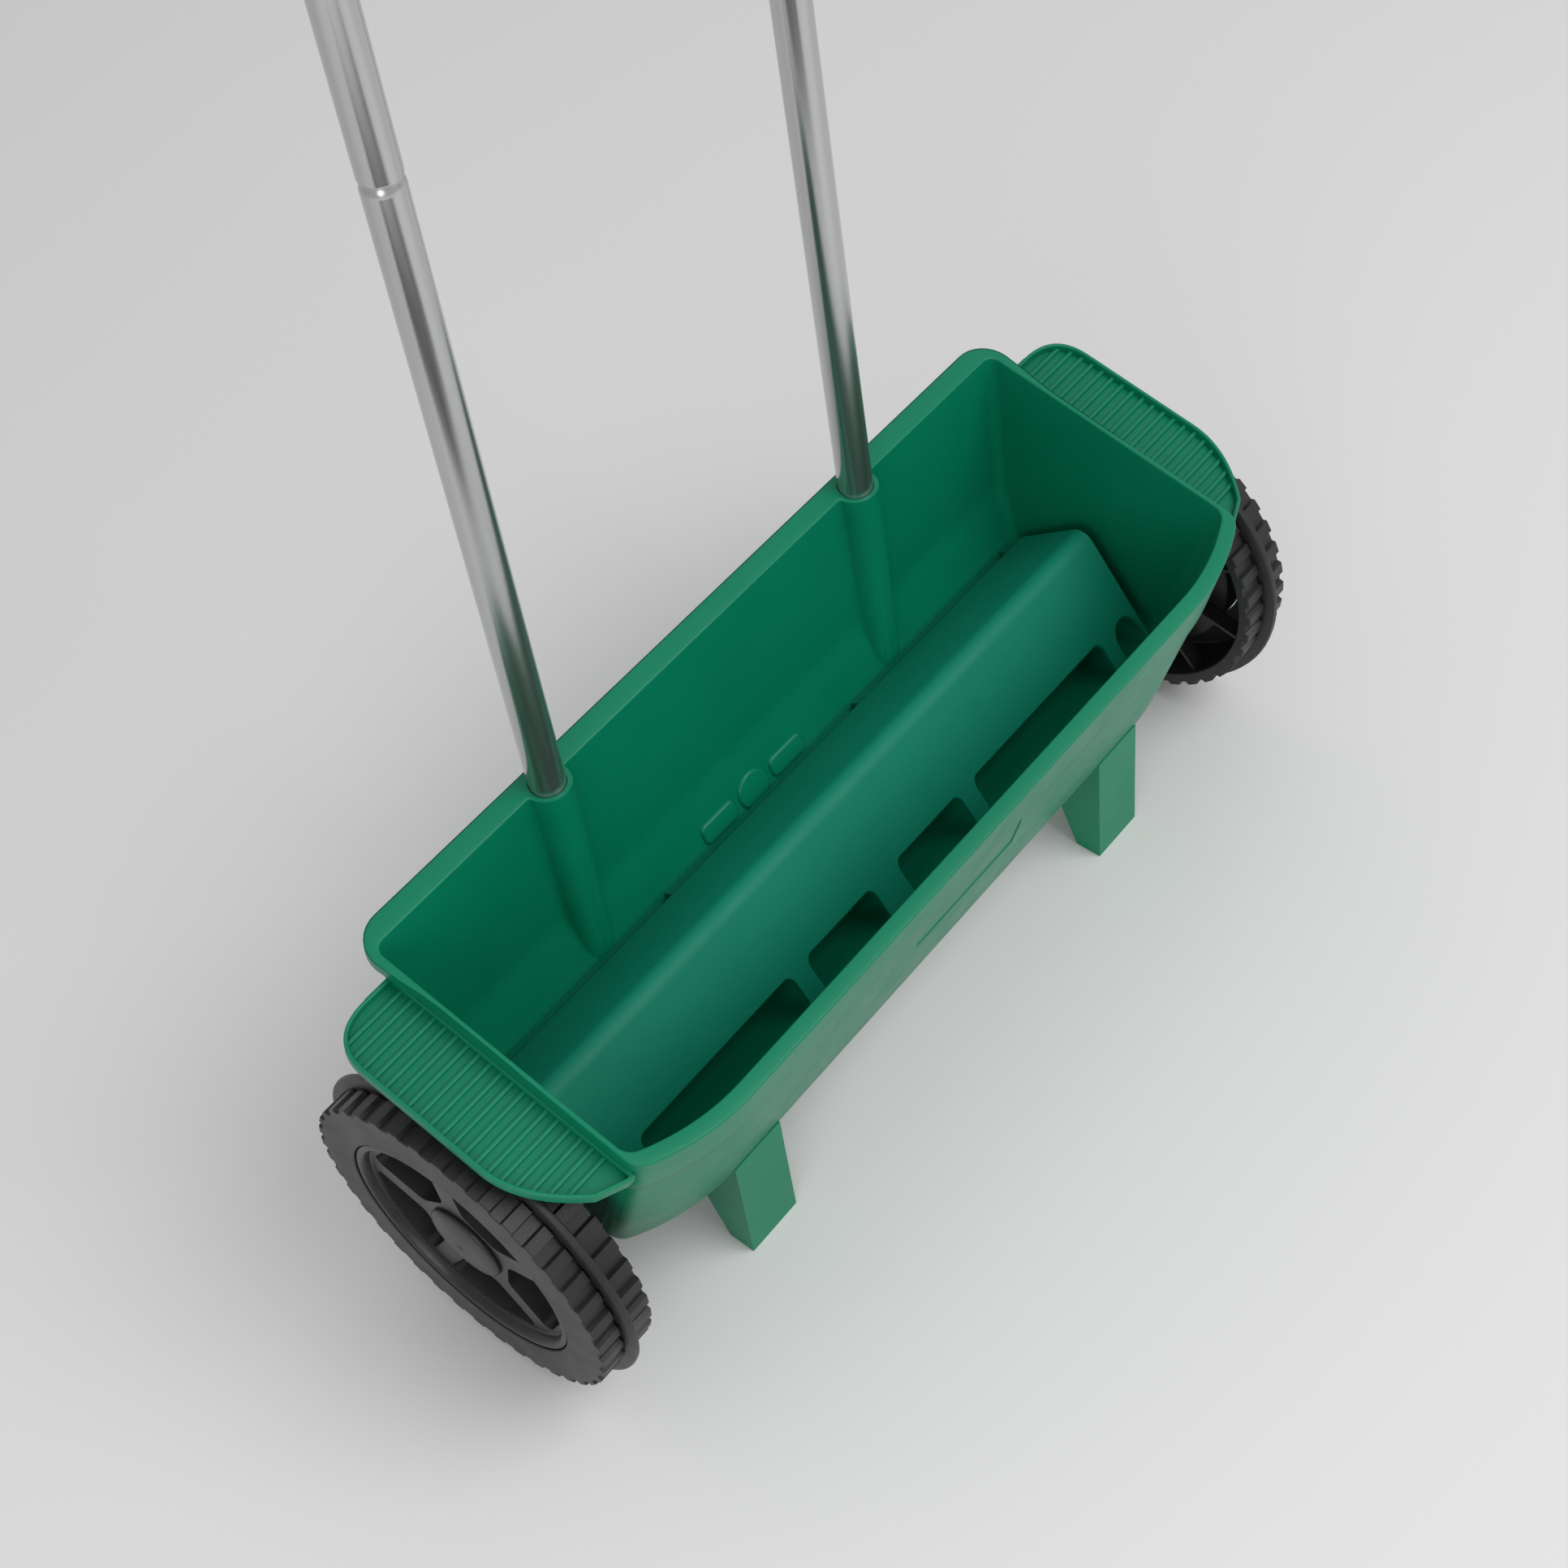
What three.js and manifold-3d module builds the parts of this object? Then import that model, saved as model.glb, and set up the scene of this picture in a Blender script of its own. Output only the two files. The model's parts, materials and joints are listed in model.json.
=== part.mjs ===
// A drop spreader for lawns: a long green hopper on two wheels and two moulded legs, pushed by a light
// bright bow handle. The wheels turn an agitator under a loose cover, and a slide under the floor meters
// the grain.
// Millimetres and degrees, +Z up, -Y to the front, +X to the right of whoever pushes it.
import * as THREE from "three";
import { mergeVertices } from "three/addons/utils/BufferGeometryUtils.js";
import Module from "manifold-3d";

const wasm = await Module();
wasm.setup();

// Fits
const seatGap = 0.3;
const runningGap = 0.3;
const overrun = 2;
const wall = 2.6;
const frontWall = 3.6;

// Stance: the hopper tips forward about the axle until the legs stand on the ground
const wheelRadius = 100;
const tipAngle = 13.5;

// Hopper inside, from the axle: heights, and how far each level reaches to the front, the rear and the ends
const rimHeight = 119.5;
const kneeHeight = 26;
const shoulderDepth = 9;
const floorDepth = 28;
const mouthFront = 73.2;
const mouthRear = 98.1;
const mouthHalf = 240.7;
const kneeFrontDraft = 5.6;
const kneeRearDraft = 25.1;
const axleFrontDraft = 1.6;
const axleRearDraft = 13.4;
const shoulderFrontDraft = 10.5;
const shoulderRearDraft = 5.6;
const floorFront = 25;
const floorRear = 25;
const endDraft = 2.1;
const bowEndInset = 60.7;
const bowEndInsetLow = 68.7;
const bowRadius = 126;
const frontCorner = 9.4;
const rearCorner = 6;
const floorThickness = 4;

// Rim and front apron
const rimThickness = 3;
const frontRimWidth = 8.8;
const rearRimWidth = 11.7;
const rimFrontCorner = 12;
const rimRearCorner = 15;
const rimBowRadius = 130;
const rearLipDepth = 6;
const skirtDepth = 34.5;
const skirtDraft = 0.6;
const skirtStep = 0.7;
const apronTaper = 5.8;
const apronReturn = 36;
const apronWall = 3.8;
const plateLeft = -40;
const plateRight = 42;
const plateHeight = 29;
const plateDrop = 6;
const plateDepth = 0.8;

// Side trays over the wheels
const trayDrop = 10;
const trayLipHeight = 4.9;
const trayThickness = 2;
const trayWidth = 43.2;
const trayRearInset = 11.6;
const trayRearCurve = 24.5;
const trayRearStraight = 16.7;
const trayFrontCurve = 48;
const trayFrontStraight = 18.7;
const trayFrontRise = 6.5;
const trayFrontInset = 8.7;
const trayLip = 2;
const trayRibs = 19;
const ribFrontInset = 16.7;
const ribRearInset = 8.6;
const trayRibWidth = 2.2;
const trayRibHeight = 1.6;

// Legs, upright when the spreader is parked
const legEndInset = 83.5;
const legWidth = 35.2;
const legProud = 0.2;
const legWall = 5;
const legDepth = 16;
const legHeelRise = 5;
const legHeelRun = 2;
const legKneeRun = 26.3;
const legKneeZ = 26.8;
const legRootRun = 41.3;
const legRootDrop = 29;
const legTopDrop = 16;
const legCoreDrop = 42;

// Handle tubes
const tubeRadius = 9.5;
const tubeWall = 0.9;
const tubePlaceShare = 0.5023;
const tubeRimInset = 0.5;
const tubeInwardLean = 0.665;
const tubeBackLean = 0.475;
const tubeHeelGap = 1;
const tubeAboveRim = 362;
const plugLength = 38;
const shoulderLength = 5;
const bowHeight = 300;
const bowCorner = 58;
const gripLength = 96;
const gripRadius = 14;
const gripEdge = 2;
const socketWall = 2.9;
const socketBelowAxle = 10.5;
const socketFloor = 3;

// Axle, bushes and agitator
const axleRadius = 5;
const bushRadius = 8;
const bushFlangeRadius = 12;
const bushFlange = 2;
const bossRadius = 14;
const bossLength = 11.4;
const rotorCore = 9;
const rotorRadius = 25.5;
const rotorBladeThickness = 3.2;
const rotorBlades = 4;
const rotorTwist = 90;
const rotorGap = 8;
const rotorEndGap = 7;
const pinRadius = 1.6;
const pinInset = 16;

// Wheels: across the width w runs from the inner face outwards
const hubPlay = 1.4;
const wheelWidth = 35;
const beadWidth = 5;
const beadHeight = 6;
const lugHeight = 2.4;
const lugCount = 40;
const lugRiseShare = 0.08;
const lugTopShare = 0.5;
const treadThickness = 5.6;
const faceRing = 4;
const faceWidth = 16.1;
const hubRadius = 11;
const hubInboard = 4;
const hubOutboard = 24;
const webCount = 10;
const webThickness = 2.2;
const webInset = 4;

// Spoked disc let into each wheel, and its domed cap
const discRimWidth = 5.1;
const discRimTop = 34.4;
const discBack = 14;
const discSkin = 2.4;
const spokeTop = 29;
const spokeCount = 5;
const windowHubGap = 10.5;
const windowRimGap = 3.3;
const windowArc = 50;
const capRadius = 22.5;
const capEdge = 1.4;
const capDome = 2.8;
const capBoss = 8;
const washerThickness = 0.9;
const washerRadius = 8.4;

// Loose cover over the agitator
const coverEndGap = 8.6;
const coverThickness = 2.5;
const coverRidgeY = 10.3;
const coverRidgeZ = 48.1;
const coverRidgeFrontY = 4.2;
const coverRidgeFrontZ = 45.46;
const coverRidgeRearY = 16;
const coverRidgeRearZ = 44.8;
const coverToeY = -62;
const coverToeZ = -12.2;
const coverBackY = 46.2;
const coverBackZ = 8.6;
const coverHeelY = 49.5;
const coverHeelZ = -1.6;
const coverFootY = 58;
const coverFootZ = -11;
const cutStart = -31;
const cutCorner = 5;
const longCutShares = [0.339, 0.861];
const shortCutShares = [0.0435, 0.287];
const endCutShare = 0.948;
const endCutRadius = 10;
const endCutCorner = 9.5;
const notchShares = [0.348, 0.952];
const notchWidth = 7;
const notchTop = 4;

// Outlets, metering slide and its rails
const outletPitch = 48;
const outletLength = 20;
const outletWidth = 12;
const slideThickness = 2;
const slideHalfWidth = 19;
const slideMargin = 14;
const tabWidth = 30;
const railWidth = 7;
const railLip = 4;
const railFoot = 2;
const railEndInset = 9.6;
const railScrewShares = [-0.94, 0.24, 0.94];
const screwShank = 1.4;
const screwHead = 3;
const screwHeadHeight = 2;
const screwBite = 2.6;
const screwFaceShare = 0.8;

// Flow lever on the lower rear wall
const leverX = 2;
const leverBossRadius = 9;
const leverBossHeight = 5.4;
const leverThickness = 3;
const leverHub = 10;
const leverWidth = 12;
const crankLength = 30;
const crankPinRadius = 2.5;
const leverReach = 66;
const leverKnob = 9;
const leverKnobThickness = 9;
const leverScrewShank = 2.5;
const leverScrewHead = 6;
const flangeEdge = 3;
const flangeThickness = 2;
const forkPlay = 0.5;

// Raised pads on the inside of the rear wall, behind the lever
const padHeight = 2.2;
const padRound = 13;
const padOuter = 42;
const padInner = 15;
const padHalf = 8;
const padCorner = 2;

const radians = THREE.MathUtils.degToRad;
const degrees = THREE.MathUtils.radToDeg;

// Worked out: levels and edges of the hopper
const kneeFront = mouthFront - kneeFrontDraft;
const kneeRear = mouthRear - kneeRearDraft;
const axleFront = kneeFront - axleFrontDraft;
const axleRear = kneeRear - axleRearDraft;
const shoulderFront = axleFront - shoulderFrontDraft;
const shoulderRear = axleRear - shoulderRearDraft;
const floorHalf = mouthHalf - endDraft;
const bowStart = mouthHalf - bowEndInset;
const bowStartLow = mouthHalf - bowEndInsetLow;
const rimOuterFront = mouthFront + frontRimWidth;
const rimOuterRear = mouthRear + rearRimWidth;
const apronFootFront = rimOuterFront - apronTaper;
const apronBack = rimOuterFront - apronReturn;
const plateHigh = rimHeight - skirtDepth - plateDrop;
const plateLow = plateHigh - plateHeight;

// Worked out: trays
const trayRoot = mouthHalf + wall;
const trayReach = trayRoot + trayWidth;
const trayTop = rimHeight - trayDrop;
const trayFloor = trayTop - trayLipHeight;
const trayRear = mouthRear - trayRearInset;
const trayRearSide = trayRear - trayRearCurve;
const trayFront = trayFrontInset - mouthFront;
const trayFrontTurn = trayFront + trayFrontRise;
const trayFrontSide = trayFrontTurn + trayFrontCurve;
const ribFirst = trayFront + ribFrontInset;
const ribLast = trayRear - ribRearInset;

// Worked out: legs and handle, as they stand
const tipSine = Math.sin(radians(tipAngle));
const tipCosine = Math.cos(radians(tipAngle));
const legCentre = mouthHalf - legEndInset;
const legFrontY = -apronFootFront * tipCosine - legProud;
const legRootZ = wheelRadius - legRootDrop;
const legTopZ = wheelRadius - legTopDrop;
const legCoreTop = wheelRadius - legCoreDrop;
const tubeHalfGap = mouthHalf * tubePlaceShare;
const tubeRimY = mouthRear - tubeRimInset;
const tubeY = tubeRimY * tipCosine - rimHeight * tipSine;
const tubeRimZ = wheelRadius + tubeRimY * tipSine + rimHeight * tipCosine;
const socketDepth = rimHeight + socketBelowAxle;
const tubeBelowRim = socketDepth - tubeHeelGap;

// Worked out: axle line, wheels, cover and floor
const bossOuter = floorHalf + bossLength;
const wheelInner = bossOuter + bushFlange + seatGap * 2 + washerThickness + hubPlay + hubInboard;
const lugTop = wheelRadius - beadHeight;
const lugRoot = lugTop - lugHeight;
const treadInner = lugRoot - treadThickness;
const discSeat = treadInner - faceWidth;
const discRimInner = discSeat - discRimWidth;
const windowOuter = discRimInner - windowRimGap;
const windowInner = capRadius + windowHubGap;
const coverHalf = floorHalf - coverEndGap;
const endCutCentre = coverHalf * endCutShare;
const railHalf = floorHalf - railEndInset;
const outletRoom = floorHalf - slideMargin - outletLength / 2 - outletPitch / 4;
const outletCount = Math.floor(outletRoom / outletPitch) * 2 + 1;

// Materials
const green = new THREE.MeshStandardMaterial({ color: 0x1c8a68, roughness: 0.42, metalness: 0 });
const coverGreen = new THREE.MeshStandardMaterial({ color: 0x197359, roughness: 0.5, metalness: 0 });
const black = new THREE.MeshStandardMaterial({ color: 0x202224, roughness: 0.55, metalness: 0 });
const gripBlack = new THREE.MeshStandardMaterial({ color: 0x17181a, roughness: 0.8, metalness: 0 });
const polished = new THREE.MeshStandardMaterial({ color: 0xc4c6c8, roughness: 0.12, metalness: 1 });
const steel = new THREE.MeshStandardMaterial({ color: 0x9a9c9e, roughness: 0.35, metalness: 1 });
const nylon = new THREE.MeshStandardMaterial({ color: 0xd8d6cc, roughness: 0.5, metalness: 0 });

// Solids and meshes

// A closed geometry as a solid: shared corners merged, flat slivers dropped, faces turned outwards.
function solidOf(geometry) {
  const source = geometry.index ? geometry.toNonIndexed() : geometry.clone();
  source.deleteAttribute("normal");
  source.deleteAttribute("uv");
  const merged = mergeVertices(source, 1e-4);
  const corners = merged.index.array;
  const kept = [];
  for (let i = 0; i < corners.length; i += 3) {
    const [a, b, c] = [corners[i], corners[i + 1], corners[i + 2]];
    if (a !== b && b !== c && c !== a) kept.push(a, b, c);
  }
  return closed(merged.attributes.position.array, new Uint32Array(kept));
}

function closed(vertProperties, triVerts) {
  const made = new wasm.Manifold(new wasm.Mesh({ numProp: 3, vertProperties, triVerts }));
  return made.volume() > 0 ? made : closed(vertProperties, triVerts.slice().reverse());
}

function moved(solid, matrix) {
  const { vertProperties, triVerts } = solid.getMesh();
  return closed(new THREE.BufferAttribute(vertProperties, 3).applyMatrix4(matrix).array, triVerts);
}

function joined(first, ...rest) {
  return rest.reduce((whole, piece) => whole.add(piece), first);
}

function cut(first, ...rest) {
  return rest.reduce((whole, piece) => whole.subtract(piece), first);
}

function piece(name, solid, material, parent) {
  const { vertProperties, triVerts } = solid.getMesh();
  const geometry = new THREE.BufferGeometry();
  geometry.setAttribute("position", new THREE.BufferAttribute(vertProperties, 3));
  geometry.setIndex(new THREE.BufferAttribute(triVerts, 1));
  const flat = geometry.toNonIndexed();
  flat.computeVertexNormals();
  const mesh = new THREE.Mesh(flat, material);
  mesh.name = name;
  parent.add(mesh);
  return mesh;
}

// A box between two corners.
function block(low, high) {
  const size = high.map((value, axis) => value - low[axis]);
  const middle = high.map((value, axis) => (value + low[axis]) / 2);
  return solidOf(new THREE.BoxGeometry(...size).translate(...middle));
}

// A round piece about Z from a closed profile of [radius, height] points.
function turned(profile, sides) {
  const points = [...profile, profile[0]].map(([r, z]) => new THREE.Vector2(r, z));
  return new THREE.LatheGeometry(points, sides).rotateX(Math.PI / 2);
}

// The same about X, its height running outwards along +X.
function turnedX(profile, sides) {
  return turned(profile, sides).rotateY(Math.PI / 2);
}

function rod(radius, from, to, sides) {
  return turned([[0, from], [radius, from], [radius, to], [0, to]], sides);
}

function rodX(radius, from, to, sides) {
  return rod(radius, from, to, sides).rotateY(Math.PI / 2);
}

function shapeOf(points) {
  return new THREE.Shape(points.map(([a, b]) => new THREE.Vector2(a, b)));
}

// A profile in the YZ plane carried along X.
function alongX(points, from, to) {
  const settings = { depth: to - from, bevelEnabled: false, steps: 1 };
  const geometry = new THREE.ExtrudeGeometry(shapeOf(points), settings);
  const swap = new THREE.Matrix4().makeBasis(
    new THREE.Vector3(0, 1, 0),
    new THREE.Vector3(0, 0, 1),
    new THREE.Vector3(1, 0, 0),
  );
  return solidOf(geometry.applyMatrix4(swap).translate(from, 0, 0));
}

// A shape seen from above carried up Z.
function upright(shape, from, to) {
  const settings = { depth: to - from, bevelEnabled: false, steps: 1, curveSegments: 3 };
  return solidOf(new THREE.ExtrudeGeometry(shape, settings).translate(0, 0, from));
}

// A rectangle with round corners.
function roundedRectangle(left, low, right, high, radius) {
  const shape = new THREE.Shape();
  shape.moveTo(left + radius, low);
  shape.lineTo(right - radius, low);
  shape.absarc(right - radius, low + radius, radius, -Math.PI / 2, 0, false);
  shape.lineTo(right, high - radius);
  shape.absarc(right - radius, high - radius, radius, 0, Math.PI / 2, false);
  shape.lineTo(left + radius, high);
  shape.absarc(left + radius, high - radius, radius, Math.PI / 2, Math.PI, false);
  shape.lineTo(left, low + radius);
  shape.absarc(left + radius, low + radius, radius, Math.PI, 1.5 * Math.PI, false);
  return shape;
}

// A skin through rings of equal count, closed with a cap at each end.
function loft(rings) {
  const count = rings[0].length;
  const position = rings.flat().flatMap((point) => [point.x, point.y, point.z]);
  const index = [];
  for (let level = 0; level + 1 < rings.length; level += 1) {
    for (let i = 0; i < count; i += 1) {
      const next = (i + 1) % count;
      const [a, b] = [level * count + i, level * count + next];
      index.push(a, b, a + count, b, b + count, a + count);
    }
  }
  const cap = (ring, start, flip) => {
    const normal = new THREE.Vector3();
    ring.forEach((point, i) => normal.add(point.clone().cross(ring[(i + 1) % count])));
    const turn = new THREE.Quaternion().setFromUnitVectors(normal.normalize(), new THREE.Vector3(0, 0, 1));
    const flat = ring.map((point) => point.clone().applyQuaternion(turn));
    const outline = flat.map((point) => new THREE.Vector2(point.x, point.y));
    for (const face of THREE.ShapeUtils.triangulateShape(outline, [])) {
      const corners = face.map((corner) => start + corner);
      index.push(...(flip ? corners.reverse() : corners));
    }
  };
  cap(rings[0], 0, true);
  cap(rings.at(-1), (rings.length - 1) * count, false);
  const geometry = new THREE.BufferGeometry();
  geometry.setAttribute("position", new THREE.Float32BufferAttribute(position, 3));
  geometry.setIndex(index);
  return solidOf(geometry);
}

// An open line of [y, z] points moved sideways by a distance, to the left of its run, with mitred bends.
function shifted(line, distance) {
  const normals = line.slice(1).map(([y, z], i) => {
    const run = new THREE.Vector2(y - line[i][0], z - line[i][1]).normalize();
    return new THREE.Vector2(-run.y, run.x);
  });
  return line.map(([y, z], i) => {
    const before = normals[Math.max(i - 1, 0)];
    const after = normals[Math.min(i, normals.length - 1)];
    const mitre = before.clone().add(after);
    mitre.multiplyScalar(distance / (1 + before.dot(after)));
    return [y + mitre.x, z + mitre.y];
  });
}

// A bent strip of even thickness on the left of a line.
function strip(line, thickness) {
  return [...line, ...shifted(line, thickness).reverse()];
}

// Frames: the hopper's own frame stands on the axle and tips with it, and the handle's leans with its tubes
const hopper = new THREE.Group();
hopper.position.z = wheelRadius;
hopper.rotation.x = radians(tipAngle);
hopper.updateMatrixWorld(true);
const toHopper = hopper.matrixWorld.clone().invert();

const handle = new THREE.Group();
handle.position.set(0, tubeY, tubeRimZ);
handle.rotation.x = -radians(tubeBackLean);
handle.updateMatrixWorld(true);

function inHopper(solid, matrix = new THREE.Matrix4()) {
  return moved(solid, toHopper.clone().multiply(matrix));
}

// Hopper walls

// The inside of the hopper across its width, from the front rim down over the floor to the rear rim.
const insideLine = [
  [-mouthFront, rimHeight],
  [-kneeFront, kneeHeight],
  [-axleFront, 0],
  [-shoulderFront, -shoulderDepth],
  [-floorFront, -floorDepth],
  [floorRear, -floorDepth],
  [shoulderRear, -shoulderDepth],
  [axleRear, 0],
  [kneeRear, kneeHeight],
  [mouthRear, rimHeight],
];

// One level of the hopper seen from above, from the middle of the front round to the middle of the rear.
function planHalf({ front, rear, half, start, radius, frontRound, rearRound }) {
  const run = half - frontRound - start;
  const bowCentre = front + radius;
  const roundY = bowCentre - Math.sqrt((radius - frontRound) ** 2 - run ** 2);
  const bowEnd = Math.atan2(run, bowCentre - roundY);
  const bowSteps = 5;
  const roundSteps = 3;
  const points = [];
  for (let i = 0; i <= bowSteps; i += 1) {
    const turn = (bowEnd * i) / bowSteps;
    points.push([start + radius * Math.sin(turn), bowCentre - radius * Math.cos(turn)]);
  }
  for (let i = 1; i <= roundSteps; i += 1) {
    const turn = bowEnd + ((Math.PI / 2 - bowEnd) * i) / roundSteps;
    points.push([half - frontRound + frontRound * Math.sin(turn), roundY - frontRound * Math.cos(turn)]);
  }
  for (let i = 0; i <= roundSteps; i += 1) {
    const turn = (Math.PI / 2) * (i / roundSteps);
    const [along, across] = [rearRound * Math.cos(turn), rearRound * Math.sin(turn)];
    points.push([half - rearRound + along, rear - rearRound + across]);
  }
  return points;
}

// The whole level: its height runs from the front's to the rear's, and both ends mirror each other.
function planRing(level) {
  const right = planHalf(level);
  const left = right.map(([x, y]) => [-x, y]).reverse();
  const slope = (level.rearZ - level.frontZ) / (level.rear - level.front);
  const heightAt = (y) => level.frontZ + slope * (y - level.front);
  return [...right, ...left].map(([x, y]) => new THREE.Vector3(x, y, heightAt(y)));
}

// The hopper's inside, or its outside when moved out by a distance, which can be another at the front.
function hopperForm(outset, raise, frontOutset = outset) {
  const frontLine = shifted(insideLine, -frontOutset);
  const rearLine = shifted(insideLine, -outset);
  const levels = insideLine.length / 2;
  const rings = [];
  for (let i = 0; i < levels; i += 1) {
    const [front, frontZ] = frontLine[i];
    const [rear, rearZ] = rearLine.at(-1 - i);
    const share = (rimHeight - insideLine[i][1]) / (rimHeight + floorDepth);
    rings.push({
      front,
      frontZ,
      rear,
      rearZ,
      half: mouthHalf + outset + (floorHalf - mouthHalf) * share,
      start: bowStart + (bowStartLow - bowStart) * share,
      radius: bowRadius + frontOutset,
      frontRound: frontCorner + outset,
      rearRound: rearCorner + outset,
    });
  }
  rings[0].frontZ = rimHeight;
  rings[0].rearZ = rimHeight;
  const top = { ...rings[0], frontZ: rimHeight + raise, rearZ: rimHeight + raise };
  return loft([...(raise ? [top] : []), ...rings].map(planRing));
}

// One level of the rim and of the apron that hangs from its front.
function rimLevel(front, z, inset) {
  const share = (rimHeight - z) / (rimHeight + floorDepth);
  return planRing({
    front: -front + inset,
    frontZ: z,
    rear: rimOuterRear - inset,
    rearZ: z,
    half: mouthHalf + wall + (floorHalf - mouthHalf) * share - inset,
    start: bowStart + (bowStartLow - bowStart) * share * (rimHeight + floorDepth) / rimHeight,
    radius: rimBowRadius - inset,
    frontRound: rimFrontCorner - inset,
    rearRound: rimRearCorner - inset,
  });
}

const skirtZ = rimHeight - skirtDepth;
const skirtFoot = rimOuterFront - skirtDraft;
const apronTop = skirtFoot - skirtStep;

// A plate under the rim's top, as far down as asked.
function rimPlate(depth) {
  return loft([rimLevel(rimOuterFront, rimHeight, 0), rimLevel(rimOuterFront, rimHeight - depth, 0)]);
}

// A lip turned down from the rear edge of the rim.
function rearLip() {
  const inner = loft([
    rimLevel(rimOuterFront, rimHeight + overrun, wall),
    rimLevel(rimOuterFront, rimHeight - rearLipDepth - overrun, wall),
  ]);
  const front = block(
    [-mouthHalf - bossRadius, -rimOuterFront - overrun, -overrun],
    [mouthHalf + bossRadius, trayRear, rimHeight + overrun],
  );
  return cut(rimPlate(rearLipDepth), inner, front);
}

// The front skin: a skirt under the rim, then the apron that tapers down to a free edge at the axle's height.
function apron() {
  const outer = loft([
    rimLevel(rimOuterFront, rimHeight, 0),
    rimLevel(skirtFoot, skirtZ, 0),
    rimLevel(apronTop, skirtZ - skirtStep, skirtStep),
    rimLevel(apronFootFront, 0, skirtStep),
  ]);
  const inner = loft([
    rimLevel(rimOuterFront, rimHeight + overrun, apronWall),
    rimLevel(apronTop, skirtZ, apronWall),
    rimLevel(apronFootFront, -overrun, apronWall + skirtStep),
  ]);
  const behind = block(
    [-mouthHalf - bossRadius, -apronBack, -floorDepth],
    [mouthHalf + bossRadius, rimOuterRear + overrun, rimHeight + overrun],
  );
  return cut(outer, inner, behind);
}

// The bare recess for a name plate, parallel to the apron.
function plateRecess() {
  const frontAt = (z) => -apronFootFront - ((apronTop - apronFootFront) * z) / skirtZ;
  const profile = [
    [frontAt(plateLow) - overrun, plateLow],
    [frontAt(plateLow) + plateDepth, plateLow],
    [frontAt(plateHigh) + plateDepth, plateHigh],
    [frontAt(plateHigh) - overrun, plateHigh],
  ];
  return alongX(profile, plateLeft, plateRight);
}

// A tray's outline from above, its lip inset by a distance.
function trayShape(side, inset) {
  const root = side * (trayRoot - wall / 2);
  const reach = side * (trayReach - inset);
  const turn = side * (trayRoot + trayFrontStraight - inset);
  const shape = new THREE.Shape();
  shape.moveTo(root, trayRear - inset);
  shape.lineTo(side * (trayRoot + trayRearStraight), trayRear - inset);
  shape.quadraticCurveTo(reach, trayRear - inset, reach, trayRearSide);
  shape.lineTo(reach, trayFrontSide);
  shape.quadraticCurveTo(reach, (trayFrontTurn + trayFrontSide) / 2, turn, trayFrontTurn + inset);
  shape.lineTo(side * (trayRoot + wall), trayFront + inset);
  shape.lineTo(root, trayFront + inset);
  return shape;
}

// A shelf with a raised lip and cross ribs at each end of the hopper.
function tray(side) {
  const plate = upright(trayShape(side, 0), trayFloor - trayThickness, trayTop);
  const hollow = upright(trayShape(side, trayLip), trayFloor, trayTop + overrun);
  const ribFoot = trayFloor - trayThickness / 2;
  const inside = upright(trayShape(side, trayLip / 2), ribFoot, trayFloor + trayRibHeight);
  const pitch = (ribLast - ribFirst) / (trayRibs - 1);
  const ends = [side * mouthHalf, side * (trayReach + overrun)].sort((a, b) => a - b);
  const ribs = [];
  for (let i = 0; i < trayRibs; i += 1) {
    const y = ribFirst + pitch * i;
    const low = [ends[0], y - trayRibWidth / 2, ribFoot];
    ribs.push(block(low, [ends[1], y + trayRibWidth / 2, trayFloor + trayRibHeight]));
  }
  return cut(plate, hollow).add(joined(...ribs).intersect(inside));
}

// A leg's side view as it stands: upright front, heeled back, root under the hopper; inset for its core.
function legProfile(inset, low, rootZ) {
  const back = legFrontY + legDepth - inset;
  return [
    [legFrontY + inset, low],
    [back, low],
    [back + legHeelRun, legHeelRise],
    [legFrontY + legKneeRun - inset, legKneeZ],
    [legFrontY + legRootRun - inset, rootZ],
    [legFrontY + inset, rootZ],
  ];
}

function leg(side) {
  const centre = side * legCentre;
  const outer = legProfile(0, 0, legRootZ);
  outer[5] = [legFrontY, legTopZ];
  outer.splice(5, 0, [-axleFront, legTopZ]);
  const solid = alongX(outer, centre - legWidth / 2, centre + legWidth / 2);
  const coreHalf = legWidth / 2 - legWall;
  const core = alongX(legProfile(legWall, -overrun, legCoreTop), centre - coreHalf, centre + coreHalf);
  return [inHopper(solid), inHopper(core)];
}

// Handle sockets: a round boss down the rear wall on each side

function tubeMatrix(side) {
  const place = new THREE.Matrix4().makeTranslation(side * tubeHalfGap, 0, 0);
  const lean = new THREE.Matrix4().makeRotationY(-side * radians(tubeInwardLean));
  return handle.matrixWorld.clone().multiply(place).multiply(lean);
}

const socketRadius = tubeRadius + socketWall;

function socket(side, play) {
  const foot = -socketDepth - socketFloor - play;
  const boss = inHopper(solidOf(rod(socketRadius + play, foot, socketRadius, 12)), tubeMatrix(side));
  const above = block(
    [-mouthHalf, 0, rimHeight],
    [mouthHalf, rimOuterRear + socketRadius, rimHeight + socketRadius + socketDepth],
  );
  return cut(boss, above);
}

function socketBore(side) {
  const bore = rod(tubeRadius + seatGap, -tubeBelowRim - seatGap, socketDepth, 16);
  return inHopper(solidOf(bore), tubeMatrix(side));
}

// The lever's frame lies on the lower rear wall: u along X, v up the wall, w out of it to the rear
const wallRun = new THREE.Vector3(0, axleRear - shoulderRear, shoulderDepth).normalize();
const wallOut = new THREE.Vector3(1, 0, 0).cross(wallRun).negate();
const leverBasis = new THREE.Matrix4()
  .makeBasis(new THREE.Vector3(-1, 0, 0), wallRun, wallOut)
  .setPosition(leverX, axleRear, 0);

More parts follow.
